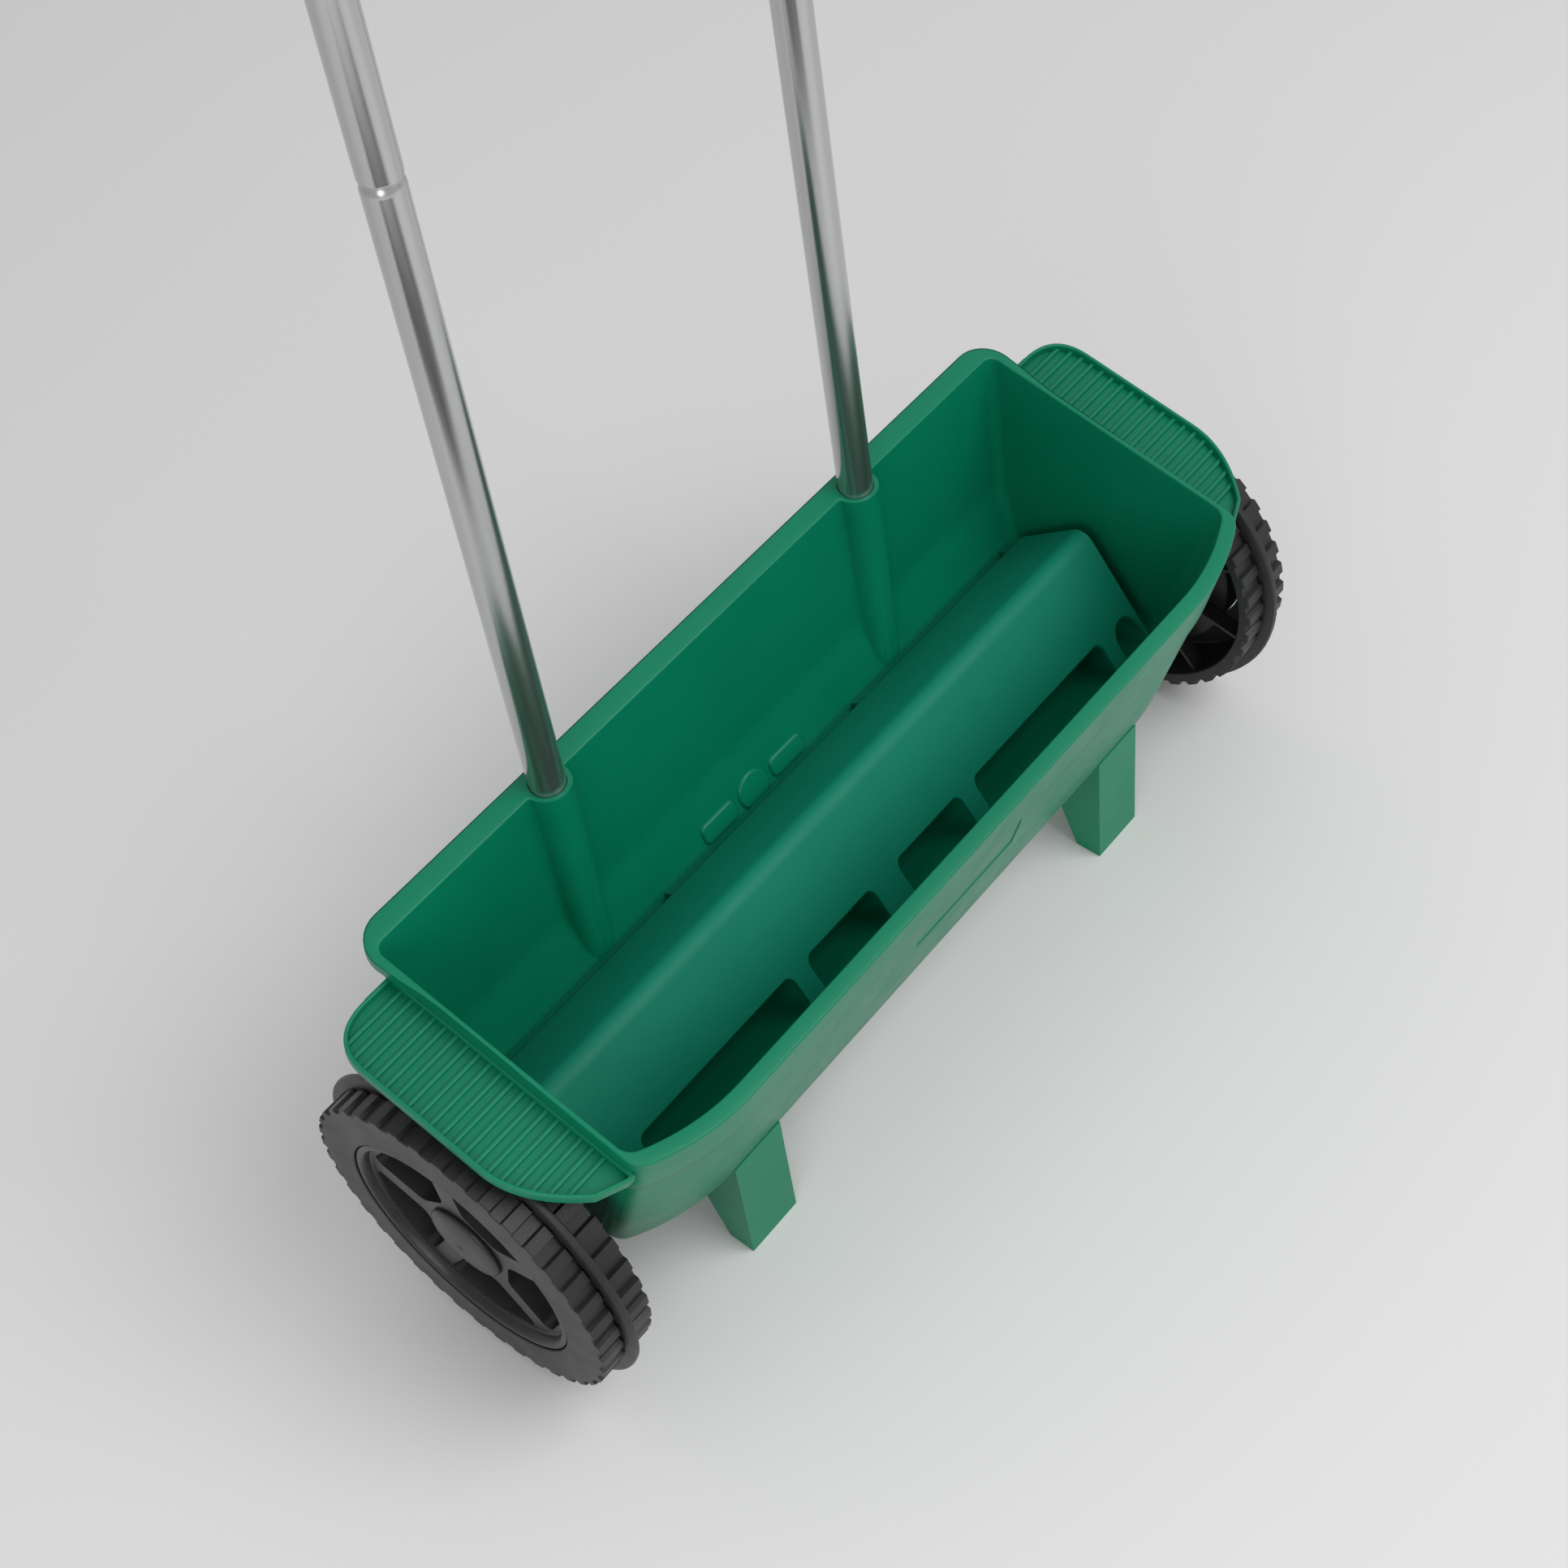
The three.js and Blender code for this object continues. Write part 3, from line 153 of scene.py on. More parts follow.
# A noise on Object coordinates, remapped between two values
def addNoise(tree, scale, low, high, detail=3.0, stretch=(1.0, 1.0, 1.0)):
    coordinates = tree.nodes.new("ShaderNodeTexCoord")
    mapping = tree.nodes.new("ShaderNodeMapping")
    mapping.inputs["Scale"].default_value = stretch
    noise = tree.nodes.new("ShaderNodeTexNoise")
    noise.inputs["Scale"].default_value = scale
    noise.inputs["Detail"].default_value = detail
    remap = tree.nodes.new("ShaderNodeMapRange")
    remap.inputs["From Min"].default_value = 0.3
    remap.inputs["From Max"].default_value = 0.7
    remap.inputs["To Min"].default_value = low
    remap.inputs["To Max"].default_value = high
    tree.links.new(coordinates.outputs["Object"], mapping.inputs["Vector"])
    tree.links.new(mapping.outputs["Vector"], noise.inputs["Vector"])
    tree.links.new(noise.outputs["Fac"], remap.inputs["Value"])
    return remap.outputs["Result"]


def mixColours(tree, factor, first, second):
    mix = tree.nodes.new("ShaderNodeMix")
    mix.data_type = "RGBA"
    mix.inputs["A"].default_value = (*first, 1.0)
    mix.inputs["B"].default_value = (*second, 1.0)
    tree.links.new(factor, mix.inputs["Factor"])
    return mix.outputs["Result"]


def addBump(tree, shader, height, strength, distance):
    bump = tree.nodes.new("ShaderNodeBump")
    bump.inputs["Strength"].default_value = strength
    bump.inputs["Distance"].default_value = distance
    tree.links.new(height, bump.inputs["Height"])
    tree.links.new(bump.outputs["Normal"], shader.inputs["Normal"])


# Moulded plastic: slow changes of tone, a fine grain and slightly uneven gloss
def mouldedPlastic(name, look):
    material, tree, shader = newMaterial(name)
    tone = addNoise(tree, look["toneScale"], 0.0, 1.0)
    tree.links.new(mixColours(tree, tone, look["dark"], look["light"]), shader.inputs["Base Color"])
    gloss = addNoise(tree, look["glossScale"], look["roughness"] - 0.04, look["roughness"] + 0.05)
    tree.links.new(gloss, shader.inputs["Roughness"])
    shader.inputs["Specular IOR Level"].default_value = look["specular"]
    addBump(tree, shader, addNoise(tree, look["grainScale"], 0.0, 1.0, detail=2.0), look["grain"], 0.0003)
    return material


# Drawn metal: fine streaks along Z on a polished or plated ground
def drawnMetal(name, look):
    material, tree, shader = newMaterial(name)
    shader.inputs["Metallic"].default_value = look["metallic"]
    streaks = addNoise(tree, look["streakScale"], 0.0, 1.0, detail=4.0, stretch=look["stretch"])
    tree.links.new(mixColours(tree, streaks, look["dark"], look["light"]), shader.inputs["Base Color"])
    gloss = addNoise(tree, look["streakScale"], look["roughness"] - 0.03, look["roughness"] + 0.06,
                     stretch=look["stretch"])
    tree.links.new(gloss, shader.inputs["Roughness"])
    return material


finishes = {
    "hopperGreen": {"dark": (0.000, 0.180, 0.092), "light": (0.001, 0.216, 0.113), "toneScale": 5.0,
                    "roughness": 0.38, "glossScale": 40.0, "specular": 0.30, "grain": 0.10, "grainScale": 900.0},
    "coverGreen": {"dark": (0.001, 0.195, 0.120), "light": (0.002, 0.230, 0.143), "toneScale": 6.0,
                   "roughness": 0.55, "glossScale": 50.0, "specular": 0.28, "grain": 0.14, "grainScale": 900.0},
    "tyreBlack": {"dark": (0.010, 0.010, 0.010), "light": (0.018, 0.018, 0.018), "toneScale": 14.0,
                  "roughness": 0.42, "glossScale": 60.0, "specular": 0.46, "grain": 0.20, "grainScale": 1200.0},
    "discBlack": {"dark": (0.012, 0.012, 0.012), "light": (0.018, 0.018, 0.018), "toneScale": 14.0,
                  "roughness": 0.34, "glossScale": 60.0, "specular": 0.45, "grain": 0.10, "grainScale": 1200.0},
    "gripBlack": {"dark": (0.010, 0.010, 0.010), "light": (0.018, 0.018, 0.018), "toneScale": 60.0,
                  "roughness": 0.78, "glossScale": 300.0, "specular": 0.3, "grain": 0.6, "grainScale": 1500.0},
    "bushWhite": {"dark": (0.62, 0.60, 0.54), "light": (0.70, 0.68, 0.62), "toneScale": 30.0,
                  "roughness": 0.45, "glossScale": 90.0, "specular": 0.5, "grain": 0.1, "grainScale": 900.0},
}
metals = {
    "tubeBright": {"dark": (0.46, 0.46, 0.465), "light": (0.58, 0.58, 0.585), "streakScale": 160.0,
                   "stretch": (1.0, 1.0, 0.02), "roughness": 0.20, "metallic": 0.94},
    "zincPlate": {"dark": (0.42, 0.42, 0.43), "light": (0.55, 0.55, 0.56), "streakScale": 120.0,
                  "stretch": (0.05, 1.0, 1.0), "roughness": 0.34, "metallic": 1.0},
}


hopperTip = math.radians(13.5)


# From the hopper's own frame in millimetres to its place in metres, tipped forward about the axle
def placeInHopper(bm):
    place = Matrix.Translation(axlePlace) @ Matrix.Rotation(hopperTip, 4, "X") @ Matrix.Scale(0.001, 4)
    bmesh.ops.transform(bm, matrix=place, verts=bm.verts)


# A box between two corners, and a rod between two points
def blockOf(bm, low, high):
    size = [b - a for a, b in zip(low, high)]
    middle = [(a + b) / 2 for a, b in zip(low, high)]
    turn = Matrix.Translation(middle) @ Matrix.Diagonal((*size, 1.0))
    return bmesh.ops.create_cube(bm, size=1.0, matrix=turn)["verts"]


def rodOf(bm, start, end, radius, segments=48):
    start, end = Vector(start), Vector(end)
    turn = Matrix.Translation((start + end) / 2) @ (end - start).to_track_quat("Z", "Y").to_matrix().to_4x4()
    return bmesh.ops.create_cone(bm, cap_ends=True, segments=segments, radius1=radius, radius2=radius,
                                 depth=(end - start).length, matrix=turn)["verts"]


# Rounds the edges at these vertices that keep() picks, in a fixed order
def roundEdges(bm, verts, width, segments, keep):
    edges = dict.fromkeys(e for v in verts for e in v.link_edges if keep(e))
    bmesh.ops.bevel(bm, geom=list(edges), offset=width, offset_type="OFFSET", affect="EDGES",
                    segments=segments, profile=0.5, material=-1, clamp_overlap=True)


def runsAlong(direction):
    return lambda edge: abs((edge.verts[0].co - edge.verts[1].co).normalized().dot(Vector(direction))) > 0.99


def newVerts(made):
    return [v for v in made["geom"] if isinstance(v, bmesh.types.BMVert)]


# A flat outline pulled straight out
def prism(bm, outline, pull):
    verts = [bm.verts.new(point) for point in outline]
    face = bm.faces.new(verts)
    fresh = newVerts(bmesh.ops.extrude_face_region(bm, geom=[face]))
    bmesh.ops.translate(bm, vec=pull, verts=fresh)
    return verts + fresh


# A closed outline of (radius, height) pairs spun about Z
def spunRing(bm, outline, segments):
    verts = [bm.verts.new((radius, 0.0, height)) for radius, height in outline]
    edges = [bm.edges.new((verts[i - 1], verts[i])) for i in range(len(verts))]
    bmesh.ops.spin(bm, geom=verts + edges, axis=(0, 0, 1), cent=(0, 0, 0), steps=segments,
                   angle=2 * math.pi, use_merge=True)
    return verts


# Joins, cuts or trims a piece by another one, which is used up
def joinBy(obj, other, operation, solver="EXACT"):
    change = obj.modifiers.new(operation.lower(), "BOOLEAN")
    change.operation, change.solver, change.use_self, change.object = operation, solver, True, other
    made = bpy.data.meshes.new_from_object(obj.evaluated_get(bpy.context.evaluated_depsgraph_get()))
    obj.modifiers.clear()
    obj.data = made
    bpy.data.objects.remove(other)


# An open line with its corners rounded
def roundLine(points, radii, steps=6):
    line = [points[0]]
    for before, corner, after, radius in zip(points, points[1:], points[2:], radii):
        corner = Vector(corner)
        into, out = (corner - Vector(before)).normalized(), (Vector(after) - corner).normalized()
        turn = into.angle(out)
        reach = radius * math.tan(turn / 2)
        start = corner - into * reach
        side = (out - into * into.dot(out)).normalized()
        centre = start + side * radius
        for step in range(steps + 1):
            angle = turn * step / steps
            line.append(tuple(centre - side * radius * math.cos(angle) + into * radius * math.sin(angle)))
    return line + [points[-1]]


# Hopper, in millimetres in its own frame: X along the axle, -Y front, z out of the mouth
hopperShape = {
    "insideFront": [(-73.2, 119.5), (-67.6, 26.0), (-66.0, 0.0), (-55.5, -9.0), (-25.0, -28.0)],
    "insideRear": [(98.1, 119.5), (73.0, 26.0), (59.6, 0.0), (54.0, -9.0), (25.0, -28.0)],
    "outsideFront": [(-76.8, 119.5), (-71.2, 26.0), (-69.55, -1.7), (-57.6, -11.9), (-27.6, -30.6)],
    "outsideRear": [(100.8, 119.5), (75.4, 25.0), (61.85, -1.3), (55.9, -10.85), (25.8, -30.6)],
    "insideHeights": [-28.0, -24.0, -14.0, -10.5, -9.0, -7.5, -5.0, -2.0, 0.0, 2.0, 5.0, 11.0, 18.0, 21.5, 24.0,
                      26.0, 28.0, 30.5, 34.0, 45.0, 65.0, 88.0, 108.0, 116.5],
    "outsideHeights": [105.0, 60.0, 31.0, 26.0, 21.0, 10.0, 1.0, -1.5, -4.0, -9.0, -11.5, -14.0, -30.6],
    "rimHeight": 119.5,
    "mouthHalf": 240.7,
    "endDraft": 2.1 / 147.5,
    "wall": 2.6,
    "frontWall": 3.6,
    "bowStart": 180.0,
    "bowDraft": 8.0 / 147.5,
    "bowRadius": 126.0,
    "frontCorner": 9.4,
    "rearCorner": 6.0,
    "rimFront": -82.0,
    "rimRear": 109.8,
    "rimBowRadius": 130.0,
    "rimFrontCorner": 12.0,
    "rimRearCorner": 18.0,
    "rearFlare": 3.0,
    "rimRounding": 1.2,
    "rimUnderside": [113.0, 116.5],
    "lipDepth": 8.0,
    "lipWall": 2.4,
    "skirtDepth": 34.5,
    "skirtDraft": 0.6,
    "skirtStep": 1.1,
    "apronTaper": 5.0,
    "apronWall": 3.8,
}
socketShape = {"x": 120.9, "y": 97.6, "lean": math.radians(13.975), "inward": math.radians(0.665),
               "radius": 12.4, "fillets": (1.6, 5.0), "bore": 9.8, "foot": -13.5}


# A wall's line at a height, with its bends rounded over a reach above and below
def lineAt(line, z, reach=0.0):
    if reach:
        return sum(lineAt(line, z + reach * step / 4) for step in range(-4, 5)) / 9
    pairs = list(zip(line, line[1:]))
    (y1, z1), (y2, z2) = next((pair for pair in pairs if z >= pair[1][1]), pairs[-1])
    return y2 + (y1 - y2) * (z - z2) / (z1 - z2)


def ease(share):
    share = min(max(share, 0.0), 1.0)
    return share * share * (3 - 2 * share)


# How far a socket stands proud of the wall at a distance beside its axis
def socketRise(beside, depth, radius, fillet):
    if depth >= radius:
        return 0.0
    centre = math.sqrt((radius + fillet) ** 2 - (depth + fillet) ** 2)
    if abs(beside) >= centre:
        return 0.0
    if abs(beside) > centre * radius / (radius + fillet):
        return fillet - math.sqrt(fillet ** 2 - (centre - abs(beside)) ** 2)
    return math.sqrt(radius ** 2 - beside ** 2) - depth


# Places beside the axis: five in each fillet and the rest round the boss
def socketPlaces(depth, radius, fillet):
    depth = min(depth, radius * 0.85)
    centre = math.sqrt((radius + fillet) ** 2 - (depth + fillet) ** 2)
    touch = centre * radius / (radius + fillet)
    turn = math.asin(min(touch / radius, 1.0))
    side = [centre + (touch - centre) * step / 5 for step in range(5)]
    middle = [radius * math.sin(turn * (1 - step / 8)) for step in range(17)]
    return side + middle + [-x for x in reversed(side)]


# One level seen from above, from the middle of the front round the right end to the middle of the rear,
# and mirrored back along the left
def planRing(front, rear, half, start, bow, frontRound, rearRound, socket, flare=0.0):
    bowCentre = front + bow
    run = half - frontRound - start
    roundY = bowCentre - math.sqrt((bow - frontRound) ** 2 - run ** 2)
    bowEnd = math.atan2(run, bowCentre - roundY)
    points = [(start * step / 3, front) for step in range(3)]
    for step in range(17):
        turn = bowEnd * step / 16
        points.append((start + bow * math.sin(turn), bowCentre - bow * math.cos(turn)))
    for step in range(1, 9):
        turn = bowEnd + (math.pi / 2 - bowEnd) * step / 8
        points.append((half - frontRound + frontRound * math.sin(turn), roundY - frontRound * math.cos(turn)))
    cornerX, cornerY = half + flare - rearRound, rear - rearRound
    for share in (0.12, 0.25, 0.5, 0.75, 0.83, 0.91):
        points.append((half + flare * ease((share - 0.75) / 0.25), roundY + (cornerY - roundY) * share))
    for step in range(9):
        turn = math.pi / 2 * step / 8
        points.append((cornerX + rearRound * math.cos(turn), cornerY + rearRound * math.sin(turn)))
    points += [(cornerX + (socket[0][0] - cornerX) * step / 4, rear) for step in range(1, 4)]
    points += [(x, rear - rise) for x, rise in socket]
    points += [(socket[-1][0] * (1 - step / 3), rear) for step in range(1, 4)]
    return points + [(-x, y) for x, y in reversed(points[1:-1])]


def socketLine(z, wallY, radius, proud):
    below = hopperShape["rimHeight"] - z
    x = socketShape["x"] + below * math.tan(socketShape["inward"])
    depth = socketShape["y"] - below * math.tan(socketShape["lean"]) - wallY
    small, large = socketShape["fillets"]
    fillet = small + (large - small) * ease(below / 110.0)
    return [(x + place, socketRise(place, depth, radius, fillet) if proud else 0.0)
            for place in socketPlaces(depth, radius, fillet)]


# The wall's inside at a height, shrunk by a play; or its outside, with the rear plain
@functools.cache
def insideRing(z, play=0.0):
    shape = hopperShape
    below = shape["rimHeight"] - z
    rear = lineAt(shape["insideRear"], z, 5.0) - play
    socket = socketLine(z, rear, socketShape["radius"] + play, True)
    return planRing(lineAt(shape["insideFront"], z, 3.5) + play, rear,
                    shape["mouthHalf"] - play - shape["endDraft"] * below,
                    shape["bowStart"] - shape["bowDraft"] * below, shape["bowRadius"] - play,
                    shape["frontCorner"] - play, shape["rearCorner"] - play, socket)


@functools.cache
def outsideRing(z):
    shape = hopperShape
    below, wall = shape["rimHeight"] - z, shape["wall"]
    rear = lineAt(shape["outsideRear"], z, 2.0)
    return planRing(lineAt(shape["outsideFront"], z, 2.0), rear,
                    shape["mouthHalf"] + wall - shape["endDraft"] * below,
                    shape["bowStart"] - shape["bowDraft"] * below, shape["bowRadius"] + shape["frontWall"],
                    shape["frontCorner"] + wall, shape["rearCorner"] + wall,
                    socketLine(z, rear, socketShape["radius"], False))


# The rim's outline, and the skirt's and apron's below it
@functools.cache
def skirtRing(z):
    shape = hopperShape
    below = shape["rimHeight"] - z
    taper = shape["skirtDraft"] * min(below / shape["skirtDepth"], 1.0)
    taper += shape["apronTaper"] * max(below - shape["skirtDepth"], 0.0) / (shape["rimHeight"] - shape["skirtDepth"])
    socket = socketLine(shape["rimHeight"], shape["insideRear"][0][0], socketShape["radius"], False)
    return planRing(shape["rimFront"] + taper, shape["rimRear"],
                    shape["mouthHalf"] + shape["wall"] - shape["endDraft"] * below,
                    shape["bowStart"] - shape["bowDraft"] * 1.2 * below, shape["rimBowRadius"],
                    shape["rimFrontCorner"], shape["rimRearCorner"], socket, flare=shape["rearFlare"])


@functools.cache
def outwards(ringAt, z):
    ring, normals = ringAt(z), []
    for i in range(len(ring)):
        (x1, y1), (x2, y2) = ring[i - 1], ring[(i + 1) % len(ring)]
        size = math.hypot(x2 - x1, y2 - y1)
        normals.append(((y2 - y1) / size, (x1 - x2) / size))
    return normals


# The same station of a ring at a height of its own, drawn in by a distance
def drawnIn(ringAt, i, z, inset):
    z = round(z, 2)
    (x, y), (nx, ny) = ringAt(z)[i], outwards(ringAt, z)[i]
    return Vector((x - nx * inset, y - ny * inset, z))


def hopperLevels():
    shape = hopperShape
    high, rounding = shape["rimHeight"], shape["rimRounding"]
    levels = [[(x, y, z) for x, y in insideRing(z)] for z in shape["insideHeights"]]
    stations = range(len(levels[0]))
    turns = [math.radians(22.5 * step) for step in range(5)]
    for turn in turns:    # inner edge of the rim
        z, back = high - rounding * (1 - math.sin(turn)), rounding * (1 - math.cos(turn))
        base = high - rounding
        levels.append([drawnIn(insideRing, i, base, -back).xy.to_3d() + Vector((0, 0, z)) for i in stations])
    for turn in turns:    # outer edge of the rim
        z, back = high - rounding * (1 - math.cos(turn)), rounding * (1 - math.sin(turn))
        levels.append([drawnIn(skirtRing, i, high, back).xy.to_3d() + Vector((0, 0, z)) for i in stations])

    # The skirt and apron hang down at the front and fade into the flush ends; the rear has a short lip
    half = len(levels[0]) // 2
    place = [i if i <= half else 2 * half - i for i in stations]
    hang = [high if i <= 28 else high / 2 if i == 29 else shape["lipDepth"] for i in place]
    step = [shape["skirtStep"] * (1.0 if i <= 26 else 0.5 if i == 27 else 0.0) for i in place]
    thick = [shape["apronWall"] if i <= 28 else shape["lipWall"] for i in place]
    under = [shape["rimUnderside"][0 if i <= 28 else 1] for i in place]
    openness = []
    for i in stations:
        foot = high - hang[i]
        gap = (drawnIn(skirtRing, i, foot, 0) - drawnIn(outsideRing, i, foot, 0)).xy
        openness.append(ease((gap.dot(outwards(skirtRing, foot)[i]) - 0.4) / 2.0))
    depth = shape["skirtDepth"]
    for drop, stepShare in ((3, 0), (14, 0), (26, 0), (depth - 0.5, 0), (depth, 0.35), (depth + 0.5, 1),
                            (depth + 4, 1), (60, 1), (90, 1)):
        levels.append([drawnIn(skirtRing, i, high - min(hang[i] * drop / high, hang[i] - 1.2), step[i] * stepShare)
                       for i in stations])
    for rise, across in ((1.0, 0.0), (0.3, 0.08), (0.0, 0.3), (0.0, 0.7), (0.3, 0.92), (1.0, 1.0)):
        levels.append([drawnIn(skirtRing, i, high - hang[i] + rise * (openness[i] if across else 1.0),
                               step[i] + thick[i] * across * openness[i]) for i in stations])
    ceiling = [high - hang[i] + (under[i] - high + hang[i]) * openness[i] for i in stations]
    levels.append([drawnIn(skirtRing, i, ceiling[i], step[i] + thick[i] * openness[i]) for i in stations])
    levels.append([drawnIn(outsideRing, i, ceiling[i], 0) if openness[i] else levels[-1][i] for i in stations])
    for z in shape["outsideHeights"]:
        levels.append([drawnIn(outsideRing, i, z, 0) if z < ceiling[i] - 0.5 else levels[-1][i] for i in stations])
    return levels


# Closed rings of vertices, each extruded to the next
def loftRings(levels, closed=False):
    bm = bmesh.new()
    first = ring = bmesh.ops.create_circle(bm, radius=1.0, segments=len(levels[0]))["verts"]
    for i, points in enumerate(levels):
        if i:
            edges = [bm.edges.get((ring[k - 1], ring[k])) for k in range(len(ring))]
            made = set(newVerts(bmesh.ops.extrude_edge_only(bm, edges=edges)))
            ring = [next(e.other_vert(v) for e in v.link_edges if e.other_vert(v) in made) for v in ring]
        for vert, point in zip(ring, points):
            vert.co = point
    if not closed:
        for end in (first, ring):
            bmesh.ops.contextual_create(bm, geom=end)
    bmesh.ops.remove_doubles(bm, verts=bm.verts, dist=0.002)
    bmesh.ops.recalc_face_normals(bm, faces=bm.faces)
    return bm


trayShape = {
    "root": 242.4, "rearRoot": 86.5, "frontRoot": -64.5, "floor": 104.6, "under": 102.6, "lipTop": 109.5, "lip": 2.0,
    "rearCurve": [(260.0, 86.5), (286.5, 86.5), (286.5, 62.0)],
    "frontCurve": [(286.5, -10.0), (286.5, -34.0), (262.0, -58.0)],
    "nose": (246.5, -64.5),
    "ribs": 19, "ribFirst": -47.8, "ribLast": 77.9, "ribWidth": 2.4, "ribRise": 2.2,
    "ribRounding": 0.7, "lipRounding": 0.8,
}
legShape = {
    "x": 157.2, "width": 35.2, "rounding": 1.0, "wall": 5.0, "coreTop": 58.0, "roundBelow": 69.0,
    "profile": [(-74.29, 0.0), (-58.29, 0.0), (-56.29, 5.0), (-47.99, 26.8), (-33.0, 69.4), (-52.85, 76.8),
                (-65.9, 83.6), (-74.29, 84.0)],
}


def curveOf(start, bend, end, steps=14):
    start, bend, end = map(Vector, (start, bend, end))
    shares = [step / steps for step in range(steps + 1)]
    return [start * (1 - s) ** 2 + bend * 2 * s * (1 - s) + end * s ** 2 for s in shares]


# The tray's outline in from its lip by a distance, for one end of the hopper
def trayOutline(inset, z):
    shape = trayShape
    points = [Vector((shape["root"], shape["rearRoot"])), *curveOf(*shape["rearCurve"]),
              *curveOf(*shape["frontCurve"]), Vector(shape["nose"]), Vector((shape["root"], shape["frontRoot"]))]
    line = [(shape["root"], shape["rearRoot"] - inset, z)]
    for before, point, after in zip(points, points[1:], points[2:]):
        run = (after - before).normalized()
        line.append((point.x + run.y * inset, point.y - run.x * inset, z))
    return line + [(shape["root"], shape["frontRoot"] + inset, z)]


def addTray(bm):
    shape = trayShape
    body = prism(bm, trayOutline(0.0, shape["under"]), (0, 0, shape["lipTop"] - shape["under"]))
    top = next(f for v in body for f in v.link_faces if all(w.co.z > shape["lipTop"] - 0.01 for w in f.verts))
    bmesh.ops.inset_region(bm, faces=[top], thickness=shape["lip"], use_even_offset=True)
    fresh = newVerts(bmesh.ops.extrude_face_region(bm, geom=[top]))
    bmesh.ops.delete(bm, geom=[top], context="FACES_ONLY")
    bmesh.ops.translate(bm, vec=(0, 0, shape["floor"] - shape["lipTop"]), verts=fresh)
    rounded = [e for e in bm.edges if len(e.link_faces) == 2 and e.calc_face_angle() > 1.0
               and all(v.co.z > shape["lipTop"] - 0.01 and v.co.x > shape["root"] + 1 for v in e.verts)]
    bmesh.ops.bevel(bm, geom=rounded, offset=shape["lipRounding"], offset_type="OFFSET", affect="EDGES",
                    segments=3, profile=0.5, material=-1, clamp_overlap=True)
    edge = trayOutline(shape["lip"] * 0.6, 0.0)[1:-1]
    for i in range(shape["ribs"]):
        y = shape["ribFirst"] + (shape["ribLast"] - shape["ribFirst"]) * i / (shape["ribs"] - 1)
        spans = [(a, b) for a, b in zip(edge, edge[1:]) if min(a[1], b[1]) <= y <= max(a[1], b[1]) and a[1] != b[1]]
        reach = max((a[0] + (b[0] - a[0]) * (y - a[1]) / (b[1] - a[1]) for a, b in spans), default=edge[0][0])
        half, crest = shape["ribWidth"] / 2, shape["floor"] + shape["ribRise"]
        rib = blockOf(bm, (shape["root"], y - half, shape["floor"] - 1.0), (reach, y + half, crest))
        roundEdges(bm, rib, shape["ribRounding"], 3,
                   lambda e: runsAlong((1, 0, 0))(e) and e.verts[0].co.z > shape["floor"])


# A leg in the standing frame: a cored box with a heel
def addLeg(bm, side):
    shape = legShape
    left, right = side * shape["x"] - shape["width"] / 2, side * shape["x"] + shape["width"] / 2
    body = prism(bm, [(left, y, z) for y, z in shape["profile"]], (right - left, 0, 0))
    sole = next(f for v in body for f in v.link_faces if all(abs(w.co.z) < 0.01 for w in f.verts))
    bmesh.ops.inset_region(bm, faces=[sole], thickness=shape["wall"], use_even_offset=True)
    fresh = newVerts(bmesh.ops.extrude_face_region(bm, geom=[sole]))
    bmesh.ops.delete(bm, geom=[sole], context="FACES_ONLY")
    bmesh.ops.translate(bm, vec=(0, 0, shape["coreTop"]), verts=fresh)
    roundEdges(bm, body, shape["rounding"], 3, lambda e: all(v in body for v in e.verts)
               and len(e.link_faces) == 2 and 0.5 < e.calc_face_angle(0) < 2.8
               and min(v.co.z for v in e.verts) < shape["roundBelow"])


# Bosses on the outside and the holes in them, as (from, to, radius), and the bare recess of the plate
bossShape = {
    "socketTop": 118.9,
    "boreTop": 140.0,
    "boreFloor": 3.0,
    "bearing": (239.5, 250.0, 14.0),
    "bearingHole": (236.0, 252.0, 8.3),
    "lever": (1.3, 8.0, 9.0),
    "leverHole": (2.6, 10.0, 2.8),
    "floorPad": ((-229.0, -26.3, -32.0), (229.0, 26.3, -29.3)),
    "screws": (-215.4, 55.0, 215.4),
    "screwBeside": 22.8,
    "screwHole": (-34.0, -29.1, 1.7),
    "outlets": range(-4, 5),
    "outletPitch": 48.0,
    "outlet": (10.0, 6.0, -36.0, -26.0),
    "plate": ((-40.0, -90.0, 50.0), (42.0, -78.5, 79.0)),
    "plateMiddle": (0.0, -80.0, 64.0),
    "plateLean": math.radians(3.4),
}
# Pads low on the rear wall: two long ones and a round one between them
padShape = {
    "long": ((-42.0, -15.0), (15.0, 42.0)),
    "height": (-8.0, 5.5),
    "depth": (-2.2, 1.0),
    "corner": 4.0,
    "edge": 2.0,
    "roundMiddle": -1.5,
    "roundRadius": 11.5,
}


